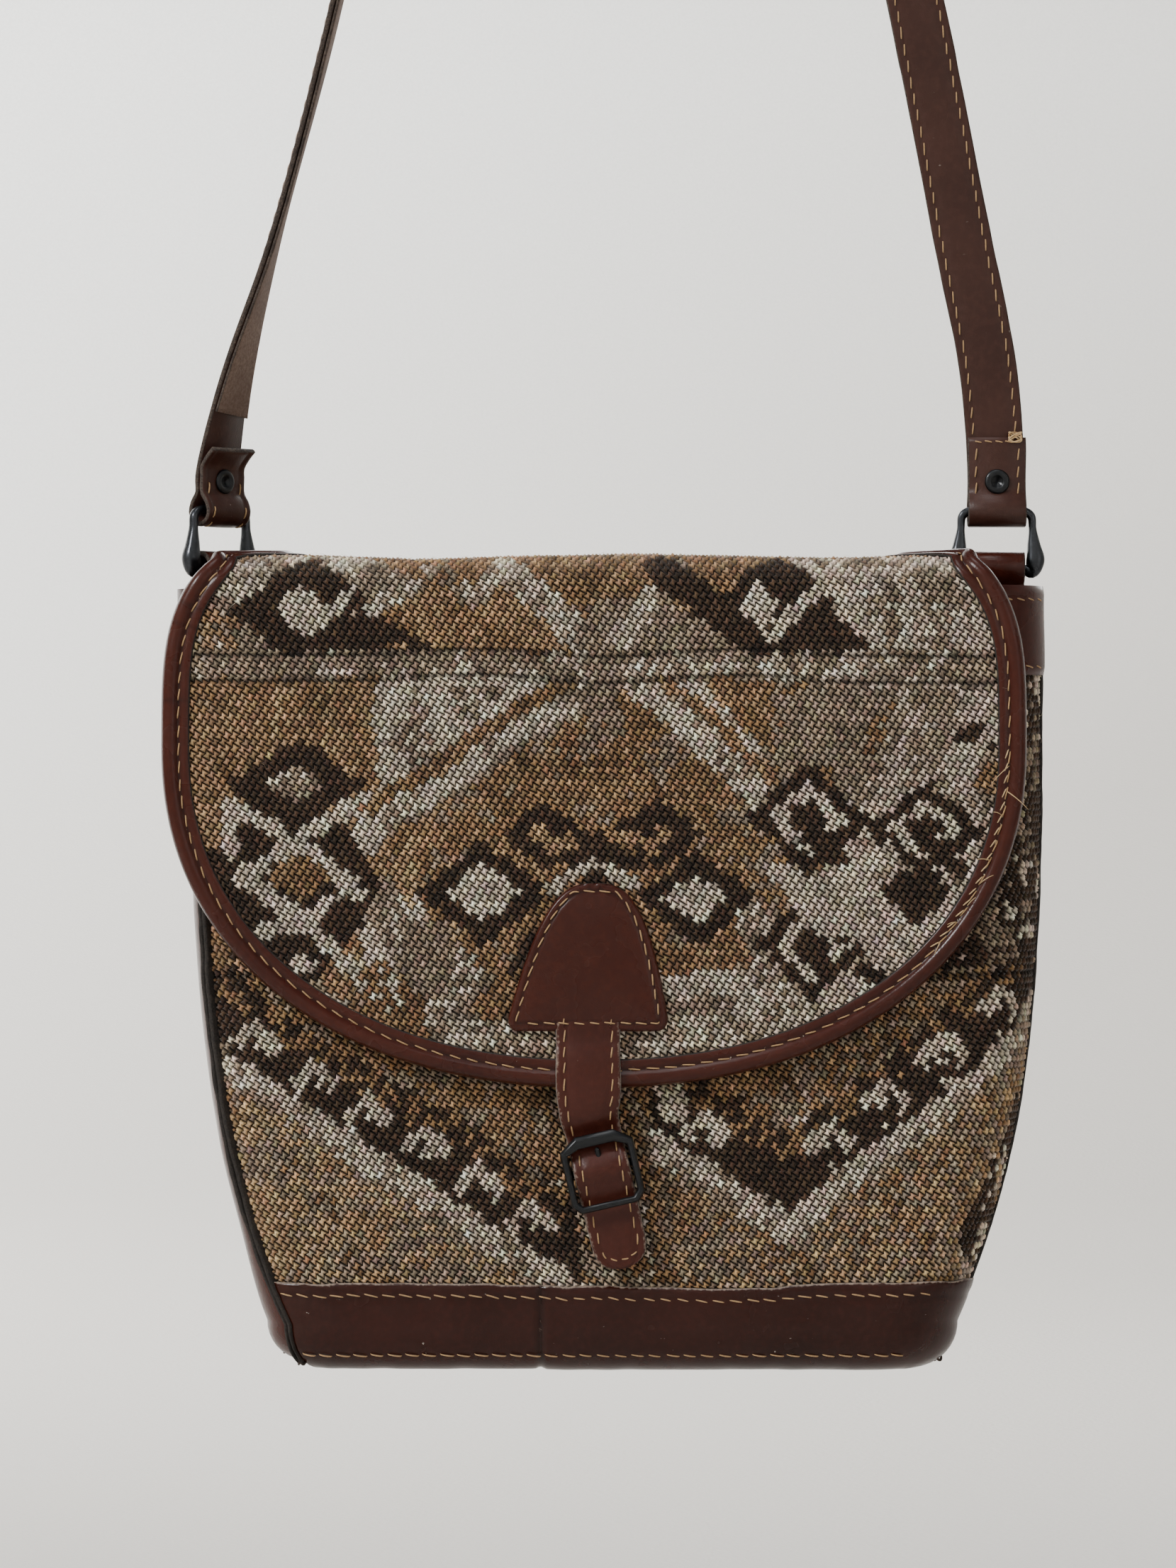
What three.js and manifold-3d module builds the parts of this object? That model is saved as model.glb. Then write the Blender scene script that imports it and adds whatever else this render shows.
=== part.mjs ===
// Messenger bag: a woven wool body and flap with leather trim, hung by its shoulder strap.
// Millimetres, +Z up, front face towards -Y. The origin is the inside of the strap's crown,
// the point that rests on a peg. The bag itself is drawn about its own top (see bagFrame).
import * as THREE from "three";
import { mergeVertices } from "three/addons/utils/BufferGeometryUtils.js";
import Module from "manifold-3d";

const wasm = await Module();
wasm.setup();

// ---- driving dimensions ----
const HANG_DROP = 640; // bag top below the crown
const HANG_SHIFT = 6; // crown to the right of the bag's middle
const GAP = 0.3; // between pieces that touch

const TOP_HALF_WIDTH = 148.7;
const HALF_WIDTH_LOSS = 30; // how much each side has pulled in at the bottom
const HALF_DEPTH = 36;
const CORNER_RADIUS = 28;
const ROLL_RADIUS = 14; // wall to underside
const ROLL_Z = -261; // where the wall starts to turn under
const PANEL_TOP = -10;
const BAND_TOP = -247; // top edge of the leather base
const TOP_BAND_DEPTH = 30;
const LINING_TOP = -32;
const WOOL = 3;
const LEATHER = 1.7;
const GUSSET_LEATHER = 2.2;

const SEAM_TURN_LEFT = 37; // degrees round the front left corner
const SEAM_TURN = 78; // degrees round the other corners
const SEAM_HALF = 1.6;
const SEAM_OUT = 4.6;
const SEAM_IN = -2.6;

const FLAP_SHIFT = -5;
const FLAP_WIDE_Z = -64;
const FLAP_BOTTOM = -179.4;
const FLAP_HALF_WIDE = 146;
const FLAP_HALF_TOP = 127;
const FLAP_NOTCH_HALF = 108; // where the top passes between the rings
const FLAP_FRONT_Y = -45;
const FLAP_BACK_Y = 41;
const FLAP_ROLL = 10;
const FLAP_CLOTH = 2.5;
const FLAP_LINING = 1;
const FLAP_ROOT_BOTTOM = -34;
const BINDING_WIDTH = 9.2;
const BINDING_PROUD = 1.3;
const BINDING_THICK = 6;
const SPLIT_TURN = 45; // where the rolls are divided for the two fold lines
const SPLIT_GAP_TURN = 1.5;
const BINDING_GAP_TURN = 21;

const RING_X = 134.4;
const RING_TOP_BAR_Z = 17.3;
const RING_LOW_BAR_Z = -2;
const RING_INNER_HALF = 10.9;
const RING_BAR_HALF = 1.6;
const RING_TURN_LEFT = 47; // degrees about Z
const LOOP_RADIUS = 3.7;

const STRAP_WIDTH = 20;
const STRAP_LEATHER = 1.8;
const STRAP_BACKING = 1.2;
const EYELET_RISE = 10.2; // above the ring's top bar
const EYELET_HOLE = 2.2;
const EYELET_BARREL = 2.7;
const EYELET_FLANGE = 4;

const CLOSURE_X = -7;
const BUCKLE_TILT = 13; // degrees, lower end to the right
const BUCKLE_X = -2.4;
const BUCKLE_Z = -207;
const BUCKLE_BAR_Y = -42.5;
const BILLET_THICK = 2.4;

const radians = THREE.MathUtils.degToRad;
const point = (x, y, z) => new THREE.Vector3(x, y, z);

// ---- solids ----
function outwards(geometry) {
  const p = geometry.attributes.position.array;
  const index = geometry.index.array;
  const [a, b, c] = [point(), point(), point()];
  let volume = 0;
  for (let i = 0; i < index.length; i += 3) {
    a.fromArray(p, 3 * index[i]);
    b.fromArray(p, 3 * index[i + 1]);
    c.fromArray(p, 3 * index[i + 2]);
    volume += a.dot(b.cross(c));
  }
  if (volume < 0) index.reverse();
  return geometry;
}

function fromFaces(points, faces) {
  const geometry = new THREE.BufferGeometry().setFromPoints(points);
  geometry.setIndex(faces);
  return outwards(geometry);
}

// A closed solid through rings of equally many points; its two ends are flat and convex.
// With twists, the far half is cut along the same diagonals as the near half, so that a thin
// strip keeps its thickness where it twists.
function loft(rings, twists = false) {
  const n = rings[0].length;
  const faces = [];
  for (let r = 0; r + 1 < rings.length; r++) {
    for (let i = 0; i < n; i++) {
      const [a, b] = [r * n + i, r * n + ((i + 1) % n)];
      if (twists && i >= n / 2) faces.push(a, b, a + n, b, b + n, a + n);
      else faces.push(a, b, b + n, a, b + n, a + n);
    }
  }
  const last = (rings.length - 1) * n;
  for (let i = 1; i + 1 < n; i++) {
    faces.push(0, i + 1, i, last, last + i, last + i + 1);
  }
  return fromFaces(rings.flat(), faces);
}

// A closed sheet between two grids of points with equally many rows and columns.
function slab(front, back) {
  const rows = front.length;
  const columns = front[0].length;
  const behind = rows * columns;
  const at = (r, c) => r * columns + c;
  const faces = [];
  const quad = (a, b, c, d) => faces.push(a, b, c, a, c, d);
  for (let r = 0; r + 1 < rows; r++) {
    for (let c = 0; c + 1 < columns; c++) {
      quad(at(r, c), at(r, c + 1), at(r + 1, c + 1), at(r + 1, c));
      quad(behind + at(r, c), behind + at(r + 1, c), behind + at(r + 1, c + 1), behind + at(r, c + 1));
    }
  }
  const rim = [];
  for (let c = 0; c < columns - 1; c++) rim.push(at(0, c));
  for (let r = 0; r < rows - 1; r++) rim.push(at(r, columns - 1));
  for (let c = columns - 1; c > 0; c--) rim.push(at(rows - 1, c));
  for (let r = rows - 1; r > 0; r--) rim.push(at(r, 0));
  rim.forEach((a, i) => {
    const b = rim[(i + 1) % rim.length];
    quad(b, a, behind + a, behind + b);
  });
  return fromFaces([...front.flat(), ...back.flat()], faces);
}

function solidOf(geometry) {
  const bare = geometry.clone();
  bare.deleteAttribute("normal");
  bare.deleteAttribute("uv");
  const merged = mergeVertices(bare, 1e-4);
  return new wasm.Manifold(
    new wasm.Mesh({
      numProp: 3,
      vertProperties: new Float32Array(merged.attributes.position.array),
      triVerts: new Uint32Array(merged.index.array),
    }),
  );
}

function geometryOf(solid) {
  const mesh = solid.getMesh();
  const geometry = new THREE.BufferGeometry();
  geometry.setAttribute("position", new THREE.BufferAttribute(mesh.vertProperties, mesh.numProp));
  geometry.setIndex(new THREE.BufferAttribute(mesh.triVerts, 1));
  return geometry;
}

function cut(geometry, ...tools) {
  return geometryOf(tools.reduce((left, tool) => left.subtract(solidOf(tool)), solidOf(geometry)));
}

function join(...geometries) {
  return geometryOf(geometries.map(solidOf).reduce((all, next) => all.add(next)));
}

function boxBetween(low, high) {
  const size = high.clone().sub(low);
  const middle = high.clone().add(low).multiplyScalar(0.5);
  return new THREE.BoxGeometry(size.x, size.y, size.z).translate(middle.x, middle.y, middle.z);
}

// A flat strip along a route of {at, across}; across is the direction of its width.
function strip(route, width, thickness, offset = 0) {
  const rings = route.map(({ at, across, wide = 1 }, i) => {
    const before = route[Math.max(0, i - 1)].at;
    const after = route[Math.min(route.length - 1, i + 1)].at;
    const along = after.clone().sub(before).normalize();
    const side = across.clone().addScaledVector(along, -across.dot(along)).normalize();
    const out = along.clone().cross(side);
    const half = (width * wide) / 2;
    const corner = (s, n) =>
      at.clone().addScaledVector(side, s * half).addScaledVector(out, offset + (n * thickness) / 2);
    return [corner(-1, -1), corner(1, -1), corner(1, 1), corner(-1, 1)];
  });
  return loft(rings, true);
}

// Smooth route through {at, across} stops.
function smoothRoute(stops, count) {
  const path = new THREE.CatmullRomCurve3(stops.map((s) => s.at), false, "centripetal");
  const sides = new THREE.CatmullRomCurve3(stops.map((s) => s.across), false, "centripetal");
  return Array.from({ length: count + 1 }, (_, i) => ({
    at: path.getPoint(i / count),
    across: sides.getPoint(i / count).normalize(),
  }));
}

// ---- the bag's walls ----
// A corner is [left or right, front or back]; turn goes from the wide face (0) round to the side (90).
const FRONT_LEFT = [-1, -1];
const FRONT_RIGHT = [1, -1];
const BACK_LEFT = [-1, 1];
const BACK_RIGHT = [1, 1];

const halfWidth = (z) => TOP_HALF_WIDTH - HALF_WIDTH_LOSS * (z / ROLL_Z) ** 4;
const wallLevel = (z) => ({ z, half: halfWidth(z), roll: 0 });
const rollLevel = (roll) => ({ z: ROLL_Z, half: halfWidth(ROLL_Z), roll });

function wallPoint([sideX, sideY], turn, level, offset) {
  const out = (ROLL_RADIUS + offset) * Math.cos(radians(level.roll));
  const reach = CORNER_RADIUS - ROLL_RADIUS + out;
  return point(
    sideX * (level.half - CORNER_RADIUS + reach * Math.sin(radians(turn))),
    sideY * (HALF_DEPTH - CORNER_RADIUS + reach * Math.cos(radians(turn))),
    level.z - (ROLL_RADIUS + offset) * Math.sin(radians(level.roll)),
  );
}

function wallSheet(columns, levels, inner, outer) {
  const grid = (offset) =>
    levels.map((level) => columns.map(([corner, turn]) => wallPoint(corner, turn, level, offset)));
  return slab(grid(outer), grid(inner));
}

const turns = (corner, from, to, steps) =>
  Array.from({ length: steps + 1 }, (_, i) => [corner, from + ((to - from) * i) / steps]);

const SEAM_CLEAR = THREE.MathUtils.radToDeg((SEAM_HALF + GAP) / (CORNER_RADIUS - WOOL));
const WALL_LEVELS = [PANEL_TOP, -70, -130, -170, -200, -225, -243, -257].map(wallLevel);
const ROLL_LEVELS = [0, 30, 60, 90].map(rollLevel);
const FRONT_COLUMNS = [
  ...turns(FRONT_LEFT, SEAM_TURN_LEFT - SEAM_CLEAR, 0, 2),
  ...turns(FRONT_RIGHT, 0, SEAM_TURN - SEAM_CLEAR, 4),
];
const BACK_COLUMNS = [
  ...turns(BACK_LEFT, SEAM_TURN - SEAM_CLEAR, 0, 2),
  ...turns(BACK_RIGHT, 0, SEAM_TURN - SEAM_CLEAR, 4),
];

function gusset(front, back, frontTurn) {
  const columns = [
    ...turns(front, frontTurn + SEAM_CLEAR, 90, frontTurn < 60 ? 3 : 1),
    ...turns(back, 90, SEAM_TURN + SEAM_CLEAR, 1),
  ];
  const levels = [...WALL_LEVELS.slice(0, -1), ...ROLL_LEVELS];
  return wallSheet(columns, levels, -GUSSET_LEATHER, 0);
}

// One leather piece: up the front, under the bag and up the back.
function baseWrap() {
  const inner = GAP;
  const outer = GAP + LEATHER;
  const levels = [wallLevel(BAND_TOP), ...ROLL_LEVELS];
  const rows = (columns, offset) =>
    levels.map((level) => columns.map(([corner, turn]) => wallPoint(corner, turn, level, offset)));
  const wrap = (offset) => [...rows(FRONT_COLUMNS, offset), ...rows(BACK_COLUMNS, offset).reverse()];
  return slab(wrap(outer), wrap(inner));
}

function seamWelt(corner, turn) {
  const levels = [...WALL_LEVELS.slice(0, -1), ...[0, 30, 55].map(rollLevel)];
  const rings = levels.map((level) => {
    const inside = wallPoint(corner, turn, level, SEAM_IN);
    const outside = wallPoint(corner, turn, level, SEAM_OUT);
    const half = level.roll > 45 ? 0.7 * SEAM_HALF : SEAM_HALF;
    const across = [corner[0] * Math.cos(radians(turn)), -corner[1] * Math.sin(radians(turn))];
    const along = point(half * across[0], half * across[1], 0);
    return [
      inside.clone().sub(along),
      inside.clone().add(along),
      outside.clone().add(along),
      outside.clone().sub(along),
    ];
  });
  return loft(rings);
}

function liningSack() {
  const clear = 6; // leaves room for the ring tabs down the gussets
  const thick = 1;
  const ring = (level, offset, lift) =>
    [
      ...turns(FRONT_LEFT, 90, 0, 3),
      ...turns(FRONT_RIGHT, 0, 90, 3),
      ...turns(BACK_RIGHT, 90, 0, 3),
      ...turns(BACK_LEFT, 0, 90, 3),
    ].map(([corner, turn]) => {
      const p = wallPoint(corner, turn, { ...level, half: level.half - clear }, offset);
      return p.setZ(p.z + lift);
    });
  const stack = (offset, lift) =>
    loft([LINING_TOP, -130, -200, -243].map(wallLevel).concat(ROLL_LEVELS).map((l) => ring(l, offset, lift)));
  const outer = -WOOL - GAP;
  const inside = stack(outer - thick, 0);
  const top = wallLevel(LINING_TOP);
  const mouth = loft([ring(top, outer - thick, -1), ring(top, outer - thick, 1)]);
  return cut(stack(outer, 0), inside, mouth);
}

// ---- the flap ----
// The flap's outer surface as a line in Y and Z, rolled over the back edge and the front edge.
function flapPoint(x, roll, turn, offset) {
  const sideY = roll === "front" ? -1 : 1;
  const edge = roll === "front" ? -FLAP_FRONT_Y : FLAP_BACK_Y;
  const radius = FLAP_ROLL + offset;
  return point(
    x,
    sideY * (edge - FLAP_ROLL + radius * Math.sin(radians(turn))),
    -FLAP_ROLL + radius * Math.cos(radians(turn)),
  );
}

function flapHalf(z) {
  if (z > FLAP_WIDE_Z) {
    const up = 1 - z / FLAP_WIDE_Z;
    return FLAP_HALF_TOP + (FLAP_HALF_WIDE - FLAP_HALF_TOP) * (1 - up ** 3);
  }
  const down = (FLAP_WIDE_Z - z) / (FLAP_WIDE_Z - FLAP_BOTTOM);
  return FLAP_HALF_WIDE * Math.max(0, 1 - down ** 2.2) ** (1 / 2.2);
}

// Stations down the hanging front, closer together where the outline turns in.
const FLAP_DROP = [-22, -40, FLAP_WIDE_Z].concat(
  [14, 28, 42, 54, 64, 73, 80, 85].map(
    (a) => FLAP_WIDE_Z - (FLAP_WIDE_Z - FLAP_BOTTOM) * Math.sin(radians(a)) ** 0.98,
  ),
);

function flapFrontStations(firstTurn) {
  const rolled = [firstTurn, (firstTurn + 90) / 2, 90].map((turn) => ({ turn, z: -FLAP_ROLL }));
  return [...rolled, ...FLAP_DROP.map((z) => ({ turn: 90, z }))];
}

function flapFrontPoint(x, { turn, z }, offset) {
  const p = flapPoint(x, "front", turn, offset);
  return turn < 90 ? p : p.setZ(z);
}

function flapFrontEdge({ turn, z }) {
  return flapHalf(turn < 90 ? -FLAP_ROLL + FLAP_ROLL * Math.cos(radians(turn)) : z);
}

function flapFrontSheet(inner, outer) {
  const inset = BINDING_WIDTH + GAP;
  const scale = (FLAP_WIDE_Z - FLAP_BOTTOM - inset) / (FLAP_WIDE_Z - FLAP_BOTTOM);
  const shrink = (z) => (z < FLAP_WIDE_Z ? FLAP_WIDE_Z + (z - FLAP_WIDE_Z) * scale : z);
  const stations = flapFrontStations(SPLIT_TURN + SPLIT_GAP_TURN);
  const grid = (offset) =>
    stations.map((station) => {
      const half = flapFrontEdge(station) * (1 - inset / FLAP_HALF_WIDE);
      const place = { turn: station.turn, z: shrink(station.z) };
      return [-1, -0.5, 0, 0.5, 1].map((s) => flapFrontPoint(FLAP_SHIFT + s * half, place, offset));
    });
  return slab(grid(outer), grid(inner));
}

// The bound edge: a bar of leather round the outline, from roll to roll.
function flapFrontBinding() {
  const scaleX = 1 - BINDING_WIDTH / FLAP_HALF_WIDE;
  const scaleZ = 1 - BINDING_WIDTH / (FLAP_WIDE_Z - FLAP_BOTTOM);
  const down = flapFrontStations(BINDING_GAP_TURN + SPLIT_TURN);
  const side = (sign) =>
    down.map((station) => {
      const half = flapFrontEdge(station);
      const z = station.z < FLAP_WIDE_Z ? FLAP_WIDE_Z + (station.z - FLAP_WIDE_Z) * scaleZ : station.z;
      const rim = (offset) => flapFrontPoint(FLAP_SHIFT + sign * half, station, offset);
      const inner = (offset) =>
        flapFrontPoint(FLAP_SHIFT + sign * half * scaleX, { turn: station.turn, z }, offset);
      const low = BINDING_PROUD - BINDING_THICK;
      return [rim(low), rim(BINDING_PROUD), inner(BINDING_PROUD), inner(low)];
    });
  return loft([...side(-1), ...side(1).reverse()]);
}

// Across the top, from the back roll to the front roll, notched beside the rings.
const FLAP_TOP_STATIONS = [
  { roll: "back", turn: SPLIT_TURN - SPLIT_GAP_TURN, half: FLAP_NOTCH_HALF },
  { roll: "back", turn: 0, half: FLAP_NOTCH_HALF },
  { roll: "front", turn: 0, half: FLAP_NOTCH_HALF, back: 14 },
  { roll: "front", turn: 0, half: FLAP_HALF_TOP - 1 },
  { roll: "front", turn: SPLIT_TURN - SPLIT_GAP_TURN, half: FLAP_HALF_TOP },
];

function flapTopPoint(x, { roll, turn, back = 0 }, offset) {
  const p = flapPoint(x, roll, turn, offset);
  return p.setY(p.y + back);
}

function flapTopSheet(inner, outer) {
  const inset = BINDING_WIDTH + GAP;
  const grid = (offset) =>
    FLAP_TOP_STATIONS.map((s) =>
      [-1, 0, 1].map((x) => flapTopPoint(FLAP_SHIFT + x * (s.half - inset), s, offset)),
    );
  return slab(grid(outer), grid(inner));
}

function flapTopBinding(sign) {
  const stations = FLAP_TOP_STATIONS.map((s) =>
    s.turn > 0 ? { ...s, turn: SPLIT_TURN - BINDING_GAP_TURN } : s,
  );
  const low = BINDING_PROUD - BINDING_THICK;
  const rings = stations.map((s) => {
    const at = (inset, offset) => flapTopPoint(FLAP_SHIFT + sign * (s.half - inset), s, offset);
    return [at(0, low), at(0, BINDING_PROUD), at(BINDING_WIDTH, BINDING_PROUD), at(BINDING_WIDTH, low)];
  });
  return loft(rings);
}

// The strip of flap cloth below the back fold, sewn to the back of the bag.
function flapRoot() {
  const stations = [SPLIT_TURN + SPLIT_GAP_TURN, 66, 90].map((turn) => ({ turn, z: 0 }));
  stations.push({ turn: 90, z: FLAP_ROOT_BOTTOM });
  const half = FLAP_NOTCH_HALF - 1;
  const grid = (offset) =>
    stations.map(({ turn, z }) =>
      [-1, 1].map((s) => {
        const p = flapPoint(FLAP_SHIFT + s * half, "back", turn, offset);
        return z ? p.setZ(z) : p;
      }),
    );
  return slab(grid(0), grid(-FLAP_CLOTH - GAP - FLAP_LINING));
}

// ---- closure ----
// A bell: round shoulders at the top, flaring to a wide, nearly straight foot.
function closurePatch() {
  const outline = new THREE.Shape();
  outline.moveTo(-27, -158);
  outline.bezierCurveTo(-21, -146, -21, -112, 0, -110.5);
  outline.bezierCurveTo(21, -112, 21, -146, 27, -158);
  outline.quadraticCurveTo(0, -163, -27, -158);
  const thick = 4.5;
  const pocketHalf = 11.8; // room for the strap's end behind the foot
  const shape = { depth: thick, bevelEnabled: false, curveSegments: 8 };
  const plate = new THREE.ExtrudeGeometry(outline, shape);
  plate.rotateX(radians(90)); // drawn across X and Z, thick towards -Y
  plate.translate(CLOSURE_X, FLAP_FRONT_Y - GAP, 0);
  const pocket = boxBetween(
    point(CLOSURE_X - pocketHalf, FLAP_FRONT_Y - GAP - BILLET_THICK - 0.5, -170),
    point(CLOSURE_X + pocketHalf, FLAP_FRONT_Y, -147),
  );
  return cut(plate, pocket);
}

// A place on the closure's slant: rise above the buckle's pivot bar, out away from the bag.
const bucklePlace = (rise, out, x = 0) =>
  point(
    BUCKLE_X - rise * Math.sin(radians(BUCKLE_TILT)) + x * Math.cos(radians(BUCKLE_TILT)),
    BUCKLE_BAR_Y - out,
    BUCKLE_Z + rise * Math.cos(radians(BUCKLE_TILT)) + x * Math.sin(radians(BUCKLE_TILT)),
  );
const SLANT_ACROSS = bucklePlace(0, 0, 1).sub(bucklePlace(0, 0));
const slantRoute = (stops) =>
  stops.map(([rise, out, wide = 1]) => ({ at: bucklePlace(rise, out), across: SLANT_ACROSS, wide }));

function inBuckleFrame(geometry) {
  geometry.rotateY(-radians(BUCKLE_TILT));
  return geometry.translate(BUCKLE_X, BUCKLE_BAR_Y, BUCKLE_Z);
}

// From under the patch, over the flap's edge, under the top bar, over the pivot bar and
// under the foot bar, to the pointed tail. The slot is where the prong stands through it.
function closureStrap() {
  const across = point(1, 0, 0);
  const flatY = FLAP_FRONT_Y - GAP - BILLET_THICK / 2 - 0.15;
  const overEdgeY = flatY - BINDING_PROUD - 0.2;
  const wide = 1.15;
  const route = [
    { at: point(CLOSURE_X, flatY, -148), across, wide },
    { at: point(CLOSURE_X, flatY, -164), across, wide },
    { at: point(CLOSURE_X, overEdgeY, -169), across, wide },
    { at: point(CLOSURE_X + 0.2, overEdgeY, -181), across, wide },
    ...slantRoute([
      [19, 4.4, 1.05], [13.6, 1.2], [10.5, 0.7], [5.5, 2.3], [0, 4.9], [-6, 3],
      [-12.3, 0.8], [-20, 0.6], [-28, 0.6, 0.95], [-31.5, 0.6, 0.75], [-33.5, 0.6, 0.35],
    ]),
  ];
  const slot = inBuckleFrame(boxBetween(point(-1.6, -8, 0.6), point(1.6, 1, 8.4)));
  return cut(strip(route, 19, BILLET_THICK), slot);
}

// Eight-sided frame drawn about its pivot bar: X across, Z up, -Y out from the bag.
function buckleFrame() {
  const corners = (list) => list.map(([x, z]) => new THREE.Vector2(x, z));
  const outline = new THREE.Shape(
    corners([
      [-12.6, 8.2], [-12.6, -10.4], [-9.8, -13.4], [9.8, -13.4],
      [12.6, -10.4], [12.6, 8.2], [6.6, 12.4], [-6.6, 12.4],
    ]),
  );
  outline.holes.push(
    new THREE.Path(
      corners([
        [-10.3, 7.2], [-6.4, 8.8], [6.4, 8.8], [10.3, 7.2],
        [10.3, -9.2], [8.6, -11.2], [-8.6, -11.2], [-10.3, -9.2],
      ]),
    ),
  );
  const front = -6.6;
  const back = 1.8;
  const thinned = -3.2; // the top and foot stand clear of the strap behind them
  const rails = new THREE.ExtrudeGeometry(outline, { depth: back - front, bevelEnabled: false });
  rails.rotateX(radians(90)).translate(0, back, 0);
  const behindTop = boxBetween(point(-14, thinned, 5.6), point(14, 3, 14));
  const behindFoot = boxBetween(point(-14, thinned, -15), point(14, 3, -6));
  const bar = new THREE.CylinderGeometry(1.4, 1.4, 22, 10).rotateZ(radians(90));
  return inBuckleFrame(join(cut(rails, behindTop, behindFoot), bar));
}

function buckleProng() {
  const eye = new THREE.Shape().absarc(0, 0, 2.9, 0, 2 * Math.PI);
  eye.holes.push(new THREE.Path().absarc(0, 0, 1.65, 0, 2 * Math.PI, true));
  const thick = 2.2;
  const ring = new THREE.ExtrudeGeometry(eye, { depth: thick, bevelEnabled: false, curveSegments: 6 });
  ring.translate(0, 0, -thick / 2).rotateY(radians(90));
  const across = point(1, 0, 0);
  const pin = [point(0, -2.2, 0.6), point(0, -3.6, 4.4), point(0, -4.8, 7.6)];
  return inBuckleFrame(join(ring, strip(pin.map((at) => ({ at, across })), 2, 1.8)));
}

// A leather loop round the pivot bar, slotted for the prong, its two ends sewn to the front.
function buckleAnchor() {
  const thick = 1.3;
  const round = 1.4 + 0.35 + thick / 2;
  const backOut = -HALF_DEPTH - BUCKLE_BAR_Y - GAP - thick / 2;
  const frontOut = -backOut + thick + GAP;
  const loop = [-40, 0, 40, 70, 110, 150, 190].map((a) => [
    round * Math.sin(radians(a)),
    round * Math.cos(radians(a)),
  ]);
  const stops = [
    [-30, frontOut], [-14, frontOut], [-6, -1.6], ...loop, [-6, -4.4], [-12, -backOut], [-30, -backOut],
  ];
  const slot = inBuckleFrame(boxBetween(point(-1.6, -3.6, -3.6), point(1.6, 3.6, 3.6)));
  return cut(strip(slantRoute(stops), 18, thick), slot);
}

// ---- rings, their tabs and the shoulder strap ----
// side is -1 for the left ring and 1 for the right one.
function ringAxes(side) {
  const turn = radians(side < 0 ? RING_TURN_LEFT : 0);
  return {
    across: point(Math.cos(turn), Math.sin(turn), 0),
    facing: point(Math.sin(turn), -Math.cos(turn), 0),
    turn,
  };
}

function besideRing(side, barZ, facing, rise) {
  return ringAxes(side).facing.multiplyScalar(facing).add(point(side * RING_X, 0, barZ + rise));
}

// Straight bars joined by arms that swell into heavy lobes at the foot.
function ring(side) {
  const low = RING_LOW_BAR_Z - RING_TOP_BAR_Z;
  const half = RING_BAR_HALF;
  const foot = low - half;
  const outline = new THREE.Shape();
  outline.moveTo(-9, half);
  outline.lineTo(9, half);
  outline.bezierCurveTo(12.4, half, 12.6, -3, 13.4, -8);
  outline.bezierCurveTo(14.6, -14, 14.6, low, 12.6, foot - 1.2);
  outline.lineTo(9, foot);
  outline.lineTo(-9, foot);
  outline.lineTo(-12.6, foot - 1.2);
  outline.bezierCurveTo(-14.6, low, -14.6, -14, -13.4, -8);
  outline.bezierCurveTo(-12.6, -3, -12.4, half, -9, half);
  const shape = { depth: 2 * half, bevelEnabled: false, curveSegments: 5 };
  const plate = new THREE.ExtrudeGeometry(outline, shape);
  plate.translate(0, 0, -half).rotateX(radians(90));
  const window = boxBetween(point(-RING_INNER_HALF, -5, foot + 2 * half), point(RING_INNER_HALF, 5, -half));
  return cut(plate, window).rotateZ(ringAxes(side).turn).translate(side * RING_X, 0, RING_TOP_BAR_Z);
}

// Half a turn of leather about a bar, as [facing, rise] from one side to the other.
const LOOP_MIDDLE = LOOP_RADIUS + STRAP_LEATHER / 2;
const halfTurn = (up) =>
  [0, 36, 72, 108, 144, 180].map((a) => [
    LOOP_MIDDLE * Math.cos(radians(a)),
    up * LOOP_MIDDLE * Math.sin(radians(a)),
  ]);

// The strap's folded end, from its free tip down round the ring's top bar and up again.
function foldedEnd(side) {
  const layer = 1.35;
  const tip = side < 0 ? [[7, 21], [3.8, 18.2], [layer, 15]] : [[layer, 25.5], [layer, 15]];
  const section = [
    ...tip, [layer, 12], [layer, 6.4], [3.6, 3.1], ...halfTurn(-1),
    [-3.6, 3.1], [-layer, 6.4], [-layer, 12],
  ];
  return section.map(([facing, rise]) => ({
    at: besideRing(side, RING_TOP_BAR_Z, facing, rise),
    across: ringAxes(side).across,
  }));
}

const turned = (degrees) => point(Math.cos(radians(degrees)), Math.sin(radians(degrees)), 0);
const PEG_RADIUS = 12;
const CROWN_MIDDLE = PEG_RADIUS + STRAP_BACKING + GAP + STRAP_LEATHER / 2;

// Up the left leg, over the crown and down the right leg.
function strapRun() {
  const crownZ = HANG_DROP - PEG_RADIUS;
  const crown = [180, 140, 90, 40, 0].map((a) => ({
    at: point(
      HANG_SHIFT + CROWN_MIDDLE * Math.cos(radians(a)),
      0,
      crownZ + CROWN_MIDDLE * Math.sin(radians(a)),
    ),
    across: turned(90),
  }));
  const left = [[-129.5, 62, 66], [-116, 112, 90], [-96, 188, 90], [-54, 380, 90], [-19, 560, 90]];
  const right = [[30, 560, 90], [65, 380, 60], [107.5, 188, 8], [122.5, 112, 0], [131.5, 66, 0]];
  const stops = ([x, z, degrees]) => ({ at: point(x, 0, z), across: turned(degrees) });
  return [...left.map(stops), ...crown, ...right.map(stops)];
}

const FOLD_LEFT = foldedEnd(-1);
const FOLD_RIGHT = foldedEnd(1).reverse();
const STRAP_STOPS = [...FOLD_LEFT, ...strapRun(), ...FOLD_RIGHT];
const STOP_STEPS = 3;
const STRAP_ROUTE = smoothRoute(STRAP_STOPS, STOP_STEPS * (STRAP_STOPS.length - 1));

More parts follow.
